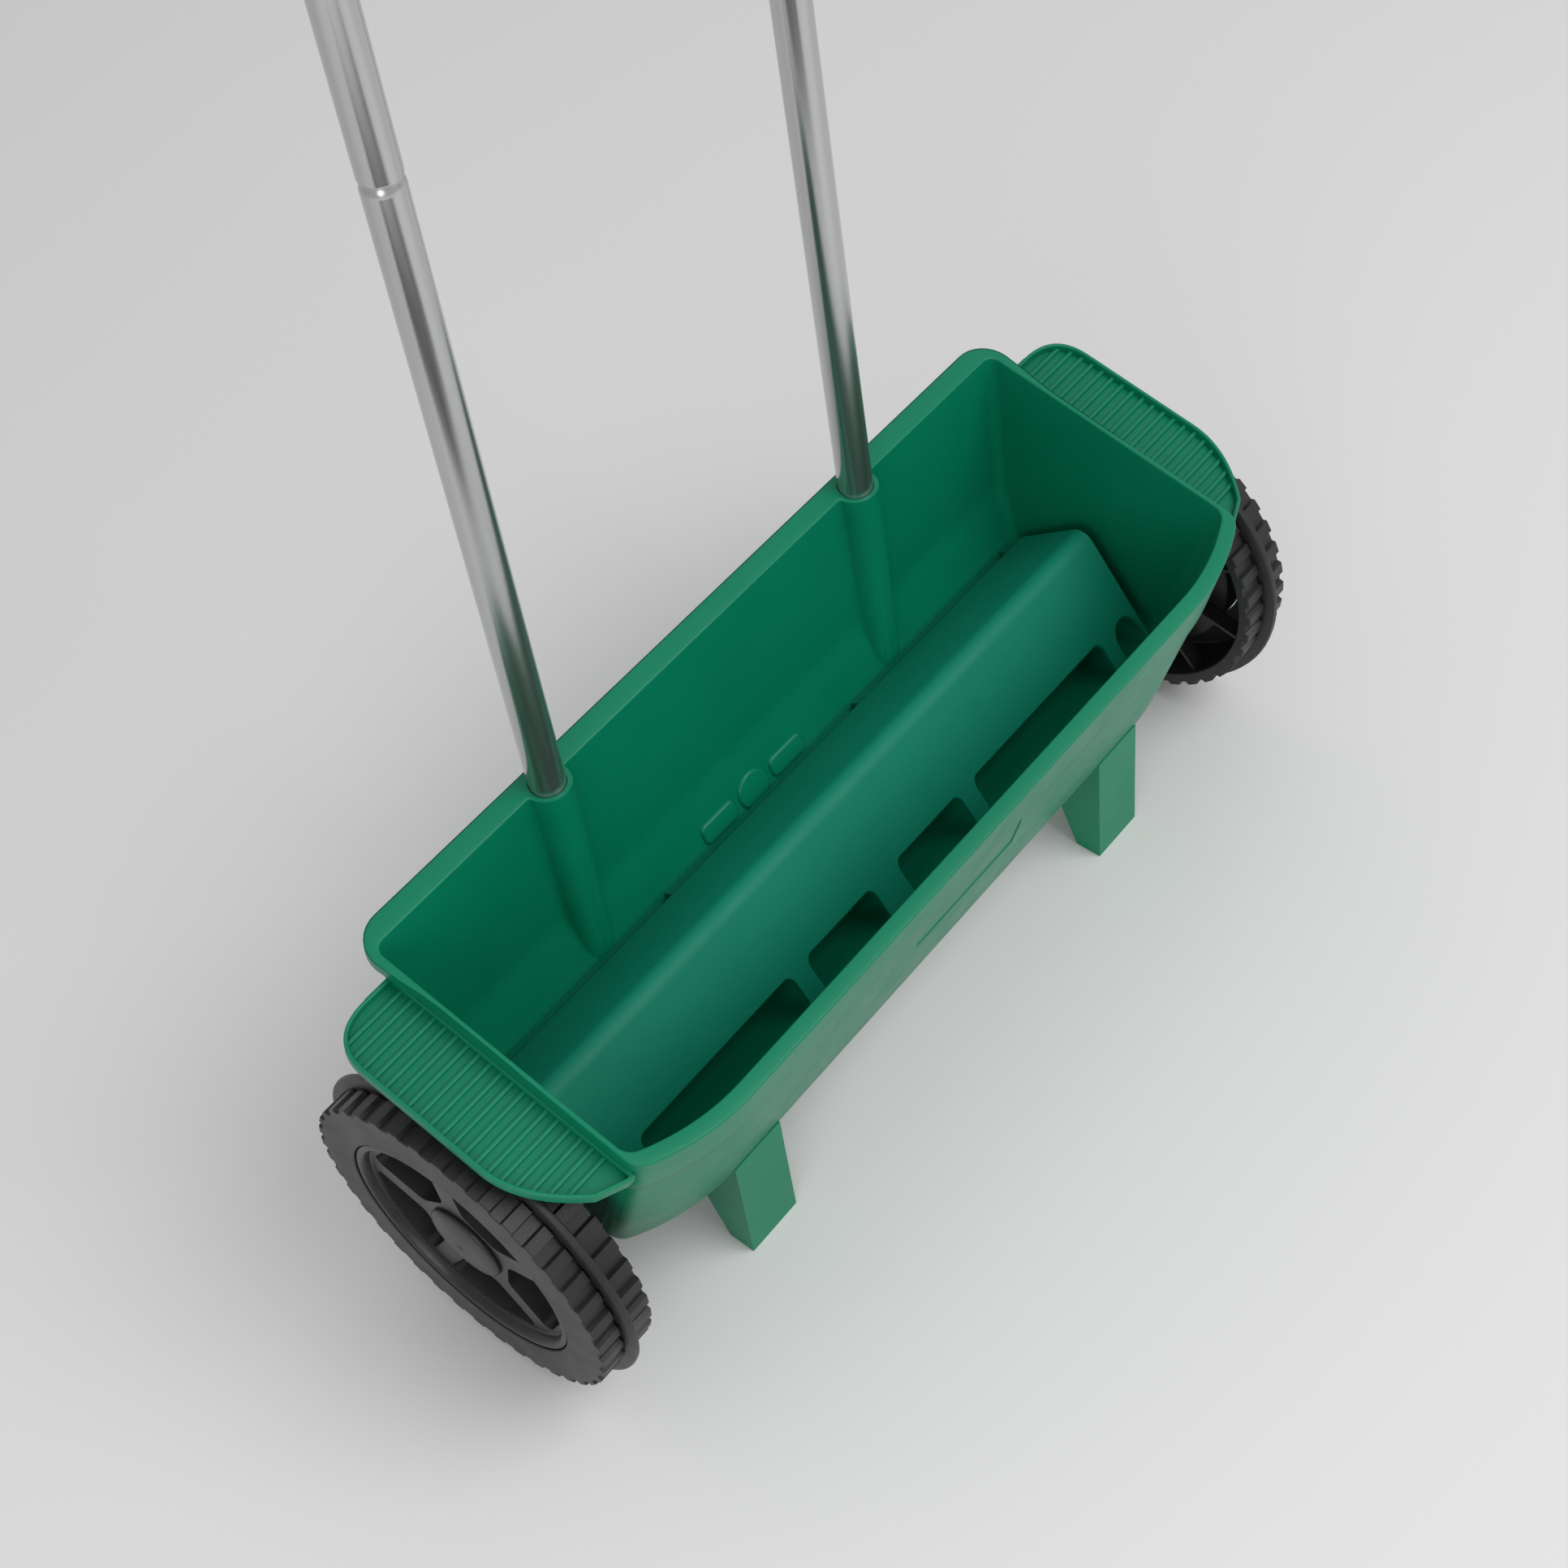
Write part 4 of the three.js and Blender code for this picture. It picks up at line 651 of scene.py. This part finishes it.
def makeHopper():
    skin = loftRings(hopperLevels())
    print("hopper skin", len(skin.faces), "faces")
    placeInHopper(skin)
    hopper = finishPiece("hopperShell", skin, materials["hopperGreen"], smooth=40.0)

    # Outside of the tube sockets, the bearing bosses, the lever's boss and the floor pad
    shape = bossShape
    bm = bmesh.new()
    axis = {side: socketAxis(side) for side in (-1, 1)}
    for side in (-1, 1):
        rodOf(bm, axis[side](socketShape["foot"]), axis[side](shape["socketTop"]), socketShape["radius"], 64)
        inner, outer, radius = shape["bearing"]
        rodOf(bm, (side * inner, 0, 0), (side * outer, 0, 0), radius, 64)
    blockOf(bm, *shape["floorPad"])
    inner, outer, radius = shape["lever"]
    rodOf(bm, onRearWall(0, 0, inner), onRearWall(0, 0, outer), radius, 48)
    placeInHopper(bm)
    joinBy(hopper, finishPiece("hopperBosses", bm, materials["hopperGreen"]), "UNION")

    # Bores for the tubes, bushes and screws, the outlets and the plate's recess
    bm = bmesh.new()
    for side in (-1, 1):
        foot = axis[side](socketShape["foot"] + shape["boreFloor"])
        rodOf(bm, foot, axis[side](shape["boreTop"]), socketShape["bore"], 64)
        inner, outer, radius = shape["bearingHole"]
        rodOf(bm, (side * inner, 0, 0), (side * outer, 0, 0), radius, 48)
        low, high, radius = shape["screwHole"]
        y = side * shape["screwBeside"]
        for x in shape["screws"]:
            rodOf(bm, (x, y, low), (x, y, high), radius, 16)
    halfX, halfY, low, high = shape["outlet"]
    for i in shape["outlets"]:
        x = i * shape["outletPitch"]
        blockOf(bm, (x - halfX, -halfY, low), (x + halfX, halfY, high))
    inner, outer, radius = shape["leverHole"]
    rodOf(bm, onRearWall(0, 0, inner), onRearWall(0, 0, outer), radius, 32)
    plate = blockOf(bm, *shape["plate"])
    bmesh.ops.rotate(bm, verts=plate, cent=shape["plateMiddle"], matrix=Matrix.Rotation(shape["plateLean"], 3, "X"))
    placeInHopper(bm)
    joinBy(hopper, finishPiece("hopperHoles", bm, materials["hopperGreen"]), "DIFFERENCE")
    print("hopper shell cut", len(hopper.data.polygons), "faces")
    for polygon in hopper.data.polygons:
        polygon.use_smooth = True
    hopper.data.set_sharp_from_angle(angle=math.radians(38))
    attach(hopper, "frame")
    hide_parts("hopper")

    # Trays with their ribs, the pads inside the rear wall
    bm = bmesh.new()
    addTray(bm)
    bmesh.ops.mirror(bm, geom=bm.verts[:] + bm.edges[:] + bm.faces[:], axis="X", merge_dist=0.0)
    bmesh.ops.recalc_face_normals(bm, faces=bm.faces)
    placeInHopper(bm)
    trays = finishPiece("sideTrays", bm, materials["hopperGreen"], smooth=35.0)
    shape = padShape
    (low, high), (front, back) = shape["height"], shape["depth"]

    def onFront(edge):
        return all(v.co.z < front + 0.2 for v in edge.verts)

    bm = bmesh.new()
    for left, right in shape["long"]:
        pad = blockOf(bm, (left, low, front), (right, high, back))
        roundEdges(bm, pad, shape["corner"], 6, runsAlong((0, 0, 1)))
        roundEdges(bm, [v for v in bm.verts if v.co.x > left - 1], shape["edge"], 5, onFront)
    middle = shape["roundMiddle"]
    pad = rodOf(bm, (0, middle, front), (0, middle, back), shape["roundRadius"], 64)
    roundEdges(bm, pad, shape["edge"], 5, onFront)
    bmesh.ops.transform(bm, matrix=rearWallPlace(), verts=bm.verts)
    placeInHopper(bm)
    pads = finishPiece("wallPads", bm, materials["hopperGreen"], smooth=35.0)

    bm = bmesh.new()
    for side in (-1, 1):
        addLeg(bm, side)
    bmesh.ops.recalc_face_normals(bm, faces=bm.faces)
    place = Matrix.Translation((0, axlePlace.y, 0)) @ Matrix.Scale(0.001, 4)
    bmesh.ops.transform(bm, matrix=place, verts=bm.verts)
    legs = finishPiece("frontLegs", bm, materials["hopperGreen"], smooth=35.0)
    for piece in (trays, pads, legs):
        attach(piece, "frame")
        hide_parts("hopper")


# The axis of a handle tube in the hopper's frame, by the height above the axle
def socketAxis(side):
    rise = Vector((-side * math.tan(socketShape["inward"]), math.tan(socketShape["lean"]), 1.0))
    top = Vector((side * socketShape["x"], socketShape["y"], hopperShape["rimHeight"]))
    return lambda z: top + rise * (z - hopperShape["rimHeight"])


# A frame on the lower rear wall: along the wall, up the wall, out of it to the rear
def rearWallPlace():
    up = Vector((0, 5.6, 9.0)).normalized()
    out = Vector((0, 9.0, -5.6)).normalized()
    turn = Matrix((Vector((-1, 0, 0)), up, out)).transposed().to_4x4()
    return Matrix.Translation((2.0, 59.6, 0)) @ turn


def onRearWall(u, v, w):
    return rearWallPlace() @ Vector((u, v, w))


coverShape = {
    "profile": [(-62.0, -12.2), (10.71, 51.13), (46.2, 8.6), (49.5, -1.6), (58.0, -11.0)],
    "radii": (9.0, 5.0, 4.0),
    "half": 230.0,
    "thickness": 2.5,
    "cutBack": -31.0,
    "cuts": [(10.0, 66.0, 5.0), (78.0, 198.0, 5.0), (208.0, 228.0, 9.6)],
    "notches": (80.0, 219.0),
    "notch": (3.5, 4.0, 2.5),    # half width, top, rounding
    "padRooms": ((-42.6, -14.4), (14.4, 42.6)),
    "padRoomHalf": 8.6,
    "padRoomRadius": 13.6,
    "padRoomDepth": (-2.8, 4.0),
    "play": 0.3,
    "edge": 0.0007,
}


def makeCover():
    shape = coverShape
    bm = bmesh.new()
    line = roundLine(shape["profile"], shape["radii"])
    verts = [bm.verts.new((-shape["half"], y, z)) for y, z in line]
    edges = [bm.edges.new(pair) for pair in zip(verts, verts[1:])]
    made = bmesh.ops.extrude_edge_only(bm, edges=edges)
    bmesh.ops.translate(bm, vec=(2 * shape["half"], 0, 0), verts=newVerts(made))
    bmesh.ops.recalc_face_normals(bm, faces=bm.faces)
    if sum(f.normal.z for f in bm.faces) < 0:
        bmesh.ops.reverse_faces(bm, faces=bm.faces)
    bmesh.ops.solidify(bm, geom=bm.faces[:], thickness=shape["thickness"])
    bmesh.ops.recalc_face_normals(bm, faces=bm.faces)
    placeInHopper(bm)
    cover = finishPiece("agitatorCover", bm, materials["coverGreen"])

    # Trimmed to the hopper's inside. The exact solver loses most of the cover here in some runs
    bm = loftRings([[(x, y, z) for x, y in insideRing(z, shape["play"])]
                    for z in hopperShape["insideHeights"] if z < 90])
    placeInHopper(bm)
    joinBy(cover, finishPiece("coverRoom", bm, materials["coverGreen"]), "INTERSECT", "FAST")

    # The gaps along the front foot, the notches in the rear foot, and room for the wall's pads
    bm = bmesh.new()
    for side in (-1, 1):
        for inner, outer, rounding in shape["cuts"]:
            low, high = sorted((side * inner, side * outer))
            box = blockOf(bm, (low, -90.0, -40.0), (high, shape["cutBack"], 60.0))
            roundEdges(bm, box, rounding, 8, lambda e: runsAlong((0, 0, 1))(e) and e.verts[0].co.y > -80)
        half, top, rounding = shape["notch"]
        for x in shape["notches"]:
            notch = blockOf(bm, (side * x - half, 40.0, -40.0), (side * x + half, 70.0, top))
            roundEdges(bm, notch, rounding, 5, lambda e: runsAlong((0, 1, 0))(e) and e.verts[0].co.z > 0)
    front, back = shape["padRoomDepth"]
    for left, right in shape["padRooms"]:
        room = blockOf(bm, (left, -shape["padRoomHalf"], front), (right, shape["padRoomHalf"], back))
        bmesh.ops.transform(bm, matrix=rearWallPlace(), verts=room)
    room = rodOf(bm, (0, 0, front), (0, 0, back), shape["padRoomRadius"], 48)
    bmesh.ops.transform(bm, matrix=rearWallPlace(), verts=room)
    placeInHopper(bm)
    joinBy(cover, finishPiece("coverCuts", bm, materials["coverGreen"]), "DIFFERENCE")
    cover.data.materials.clear()
    cover.data.materials.append(materials["coverGreen"])
    for polygon in cover.data.polygons:
        polygon.use_smooth = True
    cover.data.set_sharp_from_angle(angle=math.radians(30))
    softenEdges(cover, shape["edge"])
    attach(cover, "frame")
    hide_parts("agitator_cover")


def softenEdges(obj, width):
    bevel = obj.modifiers.new("softEdges", "BEVEL")
    bevel.width, bevel.segments, bevel.limit_method = width, 2, "ANGLE"
    bevel.angle_limit = math.radians(40)
    bevel.harden_normals = True


wheelShape = {
    "inner": 258.9,
    "tyre": [(86.7, 0.0), (91.0, 0.0), (91.6, 0.6), (91.6, 14.0), (90.2, 14.3), (90.2, 15.0), (98.4, 15.2),
             (99.6, 15.9), (100.0, 17.5), (99.6, 19.1), (98.4, 19.8), (90.2, 20.0), (90.2, 20.7), (91.6, 21.0),
             (91.6, 34.4), (91.0, 35.0), (70.7, 35.0), (70.05, 34.5), (70.0, 31.0), (85.4, 31.0), (86.0, 30.4),
             (86.0, 0.7)],
    "lugRise": 2.4,
    "lugs": 40,
    "lugTurns": (0.0, 0.55, 4.5, 5.05),
    "hub": (-4.0, 24.0, 11.0),
    "webs": 10,
    "webHalf": 1.1,
    "webRun": (10.0, 86.3),
    "webDepth": (4.0, 13.7),
}
discShape = {
    "outline": [(11.3, 14.0), (69.0, 14.0), (69.55, 14.6), (69.55, 33.2), (69.2, 34.0), (68.2, 34.4), (67.0, 34.4),
                (65.9, 34.0), (65.2, 33.2), (64.4, 29.8), (63.6, 29.2), (62.6, 29.0), (24.0, 29.0), (11.3, 29.0)],
    "spokes": 5,
    "spokeTurn": 18.0,
    "pocket": [(62.8, 0.0), (64.0, 31.8), (28.6, 25.0), (28.6, -25.0), (64.0, -31.8), (62.8, 0.0)],
    "pocketRounds": (4.5, 8.0, 8.0, 4.5),
    "pocketFloor": 16.4,
    "pocketMiddle": 47.0,
    "floorShare": (0.93, 0.9),
    "edgeRounding": 0.0022,
}


def wheelPlace(side):
    flip = Matrix.Diagonal((side, 1, 1, 1))
    return flip @ Matrix.Translation((wheelShape["inner"], 0, 0)) @ Matrix.Rotation(math.radians(90), 4, "Y")


def makeWheel(side, name):
    shape = wheelShape
    bm = bmesh.new()
    spunRing(bm, shape["tyre"], shape["lugs"] * len(shape["lugTurns"]))
    step = 360.0 / shape["lugs"]
    for vert in bm.verts:
        radius = math.hypot(vert.co.x, vert.co.y)
        station = round(math.degrees(math.atan2(vert.co.y, vert.co.x)) % 360 / (step / 4))
        lug, part = divmod(station, 4)
        turn = math.radians(lug * step + shape["lugTurns"][part])
        if 90.9 < radius < 91.7 and part in (1, 2):
            radius += shape["lugRise"]
        vert.co.x, vert.co.y = radius * math.cos(turn), radius * math.sin(turn)
    inner, outer, radius = shape["hub"]
    rodOf(bm, (0, 0, inner), (0, 0, outer), radius, 48)
    (start, end), (inner, outer) = shape["webRun"], shape["webDepth"]
    for i in range(shape["webs"]):
        web = blockOf(bm, (start, -shape["webHalf"], inner), (end, shape["webHalf"], outer))
        turn = math.radians(360 / shape["webs"] * (i + 0.5))
        bmesh.ops.rotate(bm, verts=web, cent=(0, 0, 0), matrix=Matrix.Rotation(turn, 3, "Z"))
    finishWheelPart(bm, side, "wheel" + name, "wheel_" + name.lower(), "tyreBlack", 30.0)


# One pocket between two spokes, rounded in its corners and narrower at its floor
def addPocket(bm, turn):
    shape = discShape
    corners = [(r * math.cos(math.radians(a)), r * math.sin(math.radians(a))) for r, a in shape["pocket"]]
    line = roundLine(corners, shape["pocketRounds"])[:-1]
    verts = prism(bm, [(x, y, shape["pocketFloor"]) for x, y in line], (0, 0, 30.0))
    for vert in verts:
        if vert.co.z < shape["pocketFloor"] + 1:
            vert.co.x = shape["pocketMiddle"] + (vert.co.x - shape["pocketMiddle"]) * shape["floorShare"][0]
            vert.co.y *= shape["floorShare"][1]
    bmesh.ops.rotate(bm, verts=verts, cent=(0, 0, 0), matrix=Matrix.Rotation(math.radians(turn), 3, "Z"))


def makeDisc(side, name):
    shape = discShape
    bm = bmesh.new()
    spunRing(bm, shape["outline"], 128)
    bmesh.ops.recalc_face_normals(bm, faces=bm.faces)
    bmesh.ops.transform(bm, matrix=Matrix.Scale(0.001, 4), verts=bm.verts)
    disc = finishPiece("discBlank", bm, materials["discBlack"])
    bm = bmesh.new()
    for i in range(shape["spokes"]):
        addPocket(bm, shape["spokeTurn"] + 360 * (i + 0.5) / shape["spokes"])
    bmesh.ops.recalc_face_normals(bm, faces=bm.faces)
    bmesh.ops.transform(bm, matrix=Matrix.Scale(0.001, 4), verts=bm.verts)
    joinBy(disc, finishPiece("discPockets", bm, materials["discBlack"]), "DIFFERENCE")
    bevel = disc.modifiers.new("pocketEdges", "BEVEL")
    bevel.width, bevel.segments, bevel.limit_method = shape["edgeRounding"], 4, "ANGLE"
    bevel.angle_limit = math.radians(50)
    made = bpy.data.meshes.new_from_object(disc.evaluated_get(bpy.context.evaluated_depsgraph_get()))
    bpy.data.objects.remove(disc)
    bm = bmesh.new()
    bm.from_mesh(made)
    bmesh.ops.transform(bm, matrix=Matrix.Scale(1000.0, 4), verts=bm.verts)
    finishWheelPart(bm, side, "wheelDisc" + name, "wheel_disc_" + name.lower(), "discBlack", 32.0)


# The hub cap's half section: a dimple in the middle, the dome, and the skirt
capShape = {
    "dimple": [(0.0, 30.0), (0.0, 33.1), (1.2, 33.15), (1.9, 33.5)],
    "domeRadius": 22.0,
    "domeFoot": 30.9,
    "domeRise": 2.6,
    "skirt": [(22.3, 30.9), (22.5, 30.4), (22.5, 29.3), (8.0, 29.3), (8.0, 30.0)],
}


def makeCap(side, name):
    shape = capShape
    bm = bmesh.new()
    turns = [math.radians(a) for a in range(78, 11, -6)]
    dome = [(shape["domeRadius"] * math.cos(a), shape["domeFoot"] + shape["domeRise"] * math.sin(a)) for a in turns]
    spunRing(bm, shape["dimple"] + dome + shape["skirt"], 96)
    bmesh.ops.remove_doubles(bm, verts=bm.verts, dist=0.001)
    finishWheelPart(bm, side, "hubCap" + name, "hub_cap_" + name.lower(), "discBlack", 40.0)


def finishWheelPart(bm, side, name, node, material, smooth):
    bmesh.ops.transform(bm, matrix=wheelPlace(side), verts=bm.verts)
    bmesh.ops.recalc_face_normals(bm, faces=bm.faces)
    placeInHopper(bm)
    obj = finishPiece(name, bm, materials[material], smooth=smooth)
    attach(obj, bodyOf[node])
    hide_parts(node)


handleShape = {
    "x": 120.9, "y": 67.0, "z": 238.98, "inward": math.radians(0.665), "back": math.radians(0.475),
    "radius": 9.5, "wall": 0.9, "below": 129.0, "above": 362.0, "plug": 38.0, "shoulder": 6.0,
    "bowHeight": 300.0, "bowCorner": 58.0, "gripHalf": 48.0, "gripRadius": 14.0, "gripBore": 9.8, "gripEdge": 2.0,
}


# From a tube's own frame to its place, leaning back and inwards
def standing(side):
    shape = handleShape
    place = Matrix.Translation((side * shape["x"], shape["y"] + axlePlace.y * 1000, shape["z"]))
    lean = Matrix.Rotation(-shape["back"], 4, "X") @ Matrix.Rotation(-side * shape["inward"], 4, "Y")
    return Matrix.Scale(0.001, 4) @ place @ lean


def makeTube(side, name):
    shape = handleShape
    radius, top = shape["radius"], shape["above"]
    plug = radius - shape["wall"] - 0.3
    bm = bmesh.new()
    shares = [step / 8 for step in range(9)]
    shoulder = [(plug + (radius - plug) * (0.5 + 0.5 * math.cos(math.pi * share)),
                 top - shape["shoulder"] + shape["shoulder"] * share) for share in shares]
    outline = [(radius - shape["wall"], -shape["below"]), (radius, -shape["below"]), *shoulder,
               (plug, top + shape["plug"]), (plug - shape["wall"], top + shape["plug"]),
               (plug - shape["wall"], top), (radius - shape["wall"], top - shape["shoulder"])]
    spunRing(bm, outline, 64)
    bmesh.ops.recalc_face_normals(bm, faces=bm.faces)
    bmesh.ops.transform(bm, matrix=standing(side), verts=bm.verts)
    tube = finishPiece("lowerTube" + name, bm, materials["tubeBright"], smooth=50.0)
    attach(tube, "frame")
    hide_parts("lower_tube_" + name.lower())


# The bow's centre line in the plane of both tubes, from the right joint over to the left
def bowLine():
    shape = handleShape
    lean, corner = shape["inward"], shape["bowCorner"]
    foot = shape["x"] - shape["above"] * math.sin(lean)
    start = math.pi / 2 + lean
    centreZ = shape["bowHeight"] - corner
    centreX = foot - (centreZ - corner * math.cos(start)) * math.tan(lean) - corner * math.sin(start)
    right = [(foot, 0.0, start)]
    for step in range(17):
        heading = start + (math.pi - start) * step / 16
        right.append((centreX + corner * math.sin(heading), centreZ - corner * math.cos(heading), heading))
    return right + [(-x, z, 2 * math.pi - heading) for x, z, heading in reversed(right)]


def makeBow():
    shape = handleShape
    radius, inner = shape["radius"], shape["radius"] - shape["wall"]
    turns = [2 * math.pi * k / 48 for k in range(48)]

    def ringAt(x, z, heading, size):
        return [(x + size * math.cos(t) * math.sin(heading), size * math.sin(t),
                 z - size * math.cos(t) * math.cos(heading)) for t in turns]

    line = bowLine()
    levels = [ringAt(*point, radius) for point in line] + [ringAt(*point, inner) for point in reversed(line)]
    bm = loftRings(levels + [levels[0]], closed=True)
    turn = Matrix.Translation((0, shape["y"] + axlePlace.y * 1000, shape["z"]))
    turn @= Matrix.Rotation(-shape["back"], 4, "X")
    lift = Matrix.Translation((0, 0, shape["above"] * math.cos(shape["inward"])))
    bmesh.ops.transform(bm, matrix=Matrix.Scale(0.001, 4) @ turn @ lift, verts=bm.verts)
    bow = finishPiece("handleBow", bm, materials["tubeBright"], smooth=50.0)
    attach(bow, "frame")
    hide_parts("handle_bow")

    bm = bmesh.new()
    half, radius, bore, rounding = (shape[key] for key in ("gripHalf", "gripRadius", "gripBore", "gripEdge"))
    turns = [math.radians(a) for a in range(0, 91, 15)]
    edge = [(radius - rounding * (1 - math.cos(a)), half - rounding * (1 - math.sin(a))) for a in turns]
    spunRing(bm, [(bore, -half)] + [(r, -h) for r, h in reversed(edge)] + edge + [(bore, half)], 64)
    bmesh.ops.recalc_face_normals(bm, faces=bm.faces)
    bmesh.ops.rotate(bm, verts=bm.verts, cent=(0, 0, 0), matrix=Matrix.Rotation(math.radians(90), 3, "Y"))
    bmesh.ops.translate(bm, vec=(0, 0, shape["bowHeight"]), verts=bm.verts)
    bmesh.ops.transform(bm, matrix=Matrix.Scale(0.001, 4) @ turn @ lift, verts=bm.verts)
    grip = finishPiece("handleGrip", bm, materials["gripBlack"], smooth=40.0)
    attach(grip, "frame")
    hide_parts("handle_grip")


# The record's material slots and their finishes, for the CAD nodes that stay
def dressNodes():
    bySlot = {"hopper_plastic": "hopperGreen", "cover_plastic": "coverGreen", "black_plastic": "discBlack",
              "grip_foam": "gripBlack", "polished_tube": "tubeBright", "zinc_steel": "zincPlate",
              "bush_nylon": "bushWhite"}
    for part in frame["record"]["subparts"]:
        obj = frame["nodes"][part["node"]]
        obj.data.materials.clear()
        obj.data.materials.append(materials[bySlot[part["material_slot"]]])
    print("dressed", len(frame["nodes"]), "nodes")


materials = {name: mouldedPlastic(name, look) for name, look in finishes.items()}
materials.update({name: drawnMetal(name, look) for name, look in metals.items()})
addCamera(photoCamera)
addStudio(studio)
dressNodes()
makeHopper()
print("hopper made")
makeCover()
print("cover made")
for side, name in ((-1, "Left"), (1, "Right")):
    makeWheel(side, name)
    makeDisc(side, name)
    makeCap(side, name)
    makeTube(side, name)
print("wheels and tubes made")
makeBow()
print("handle made")
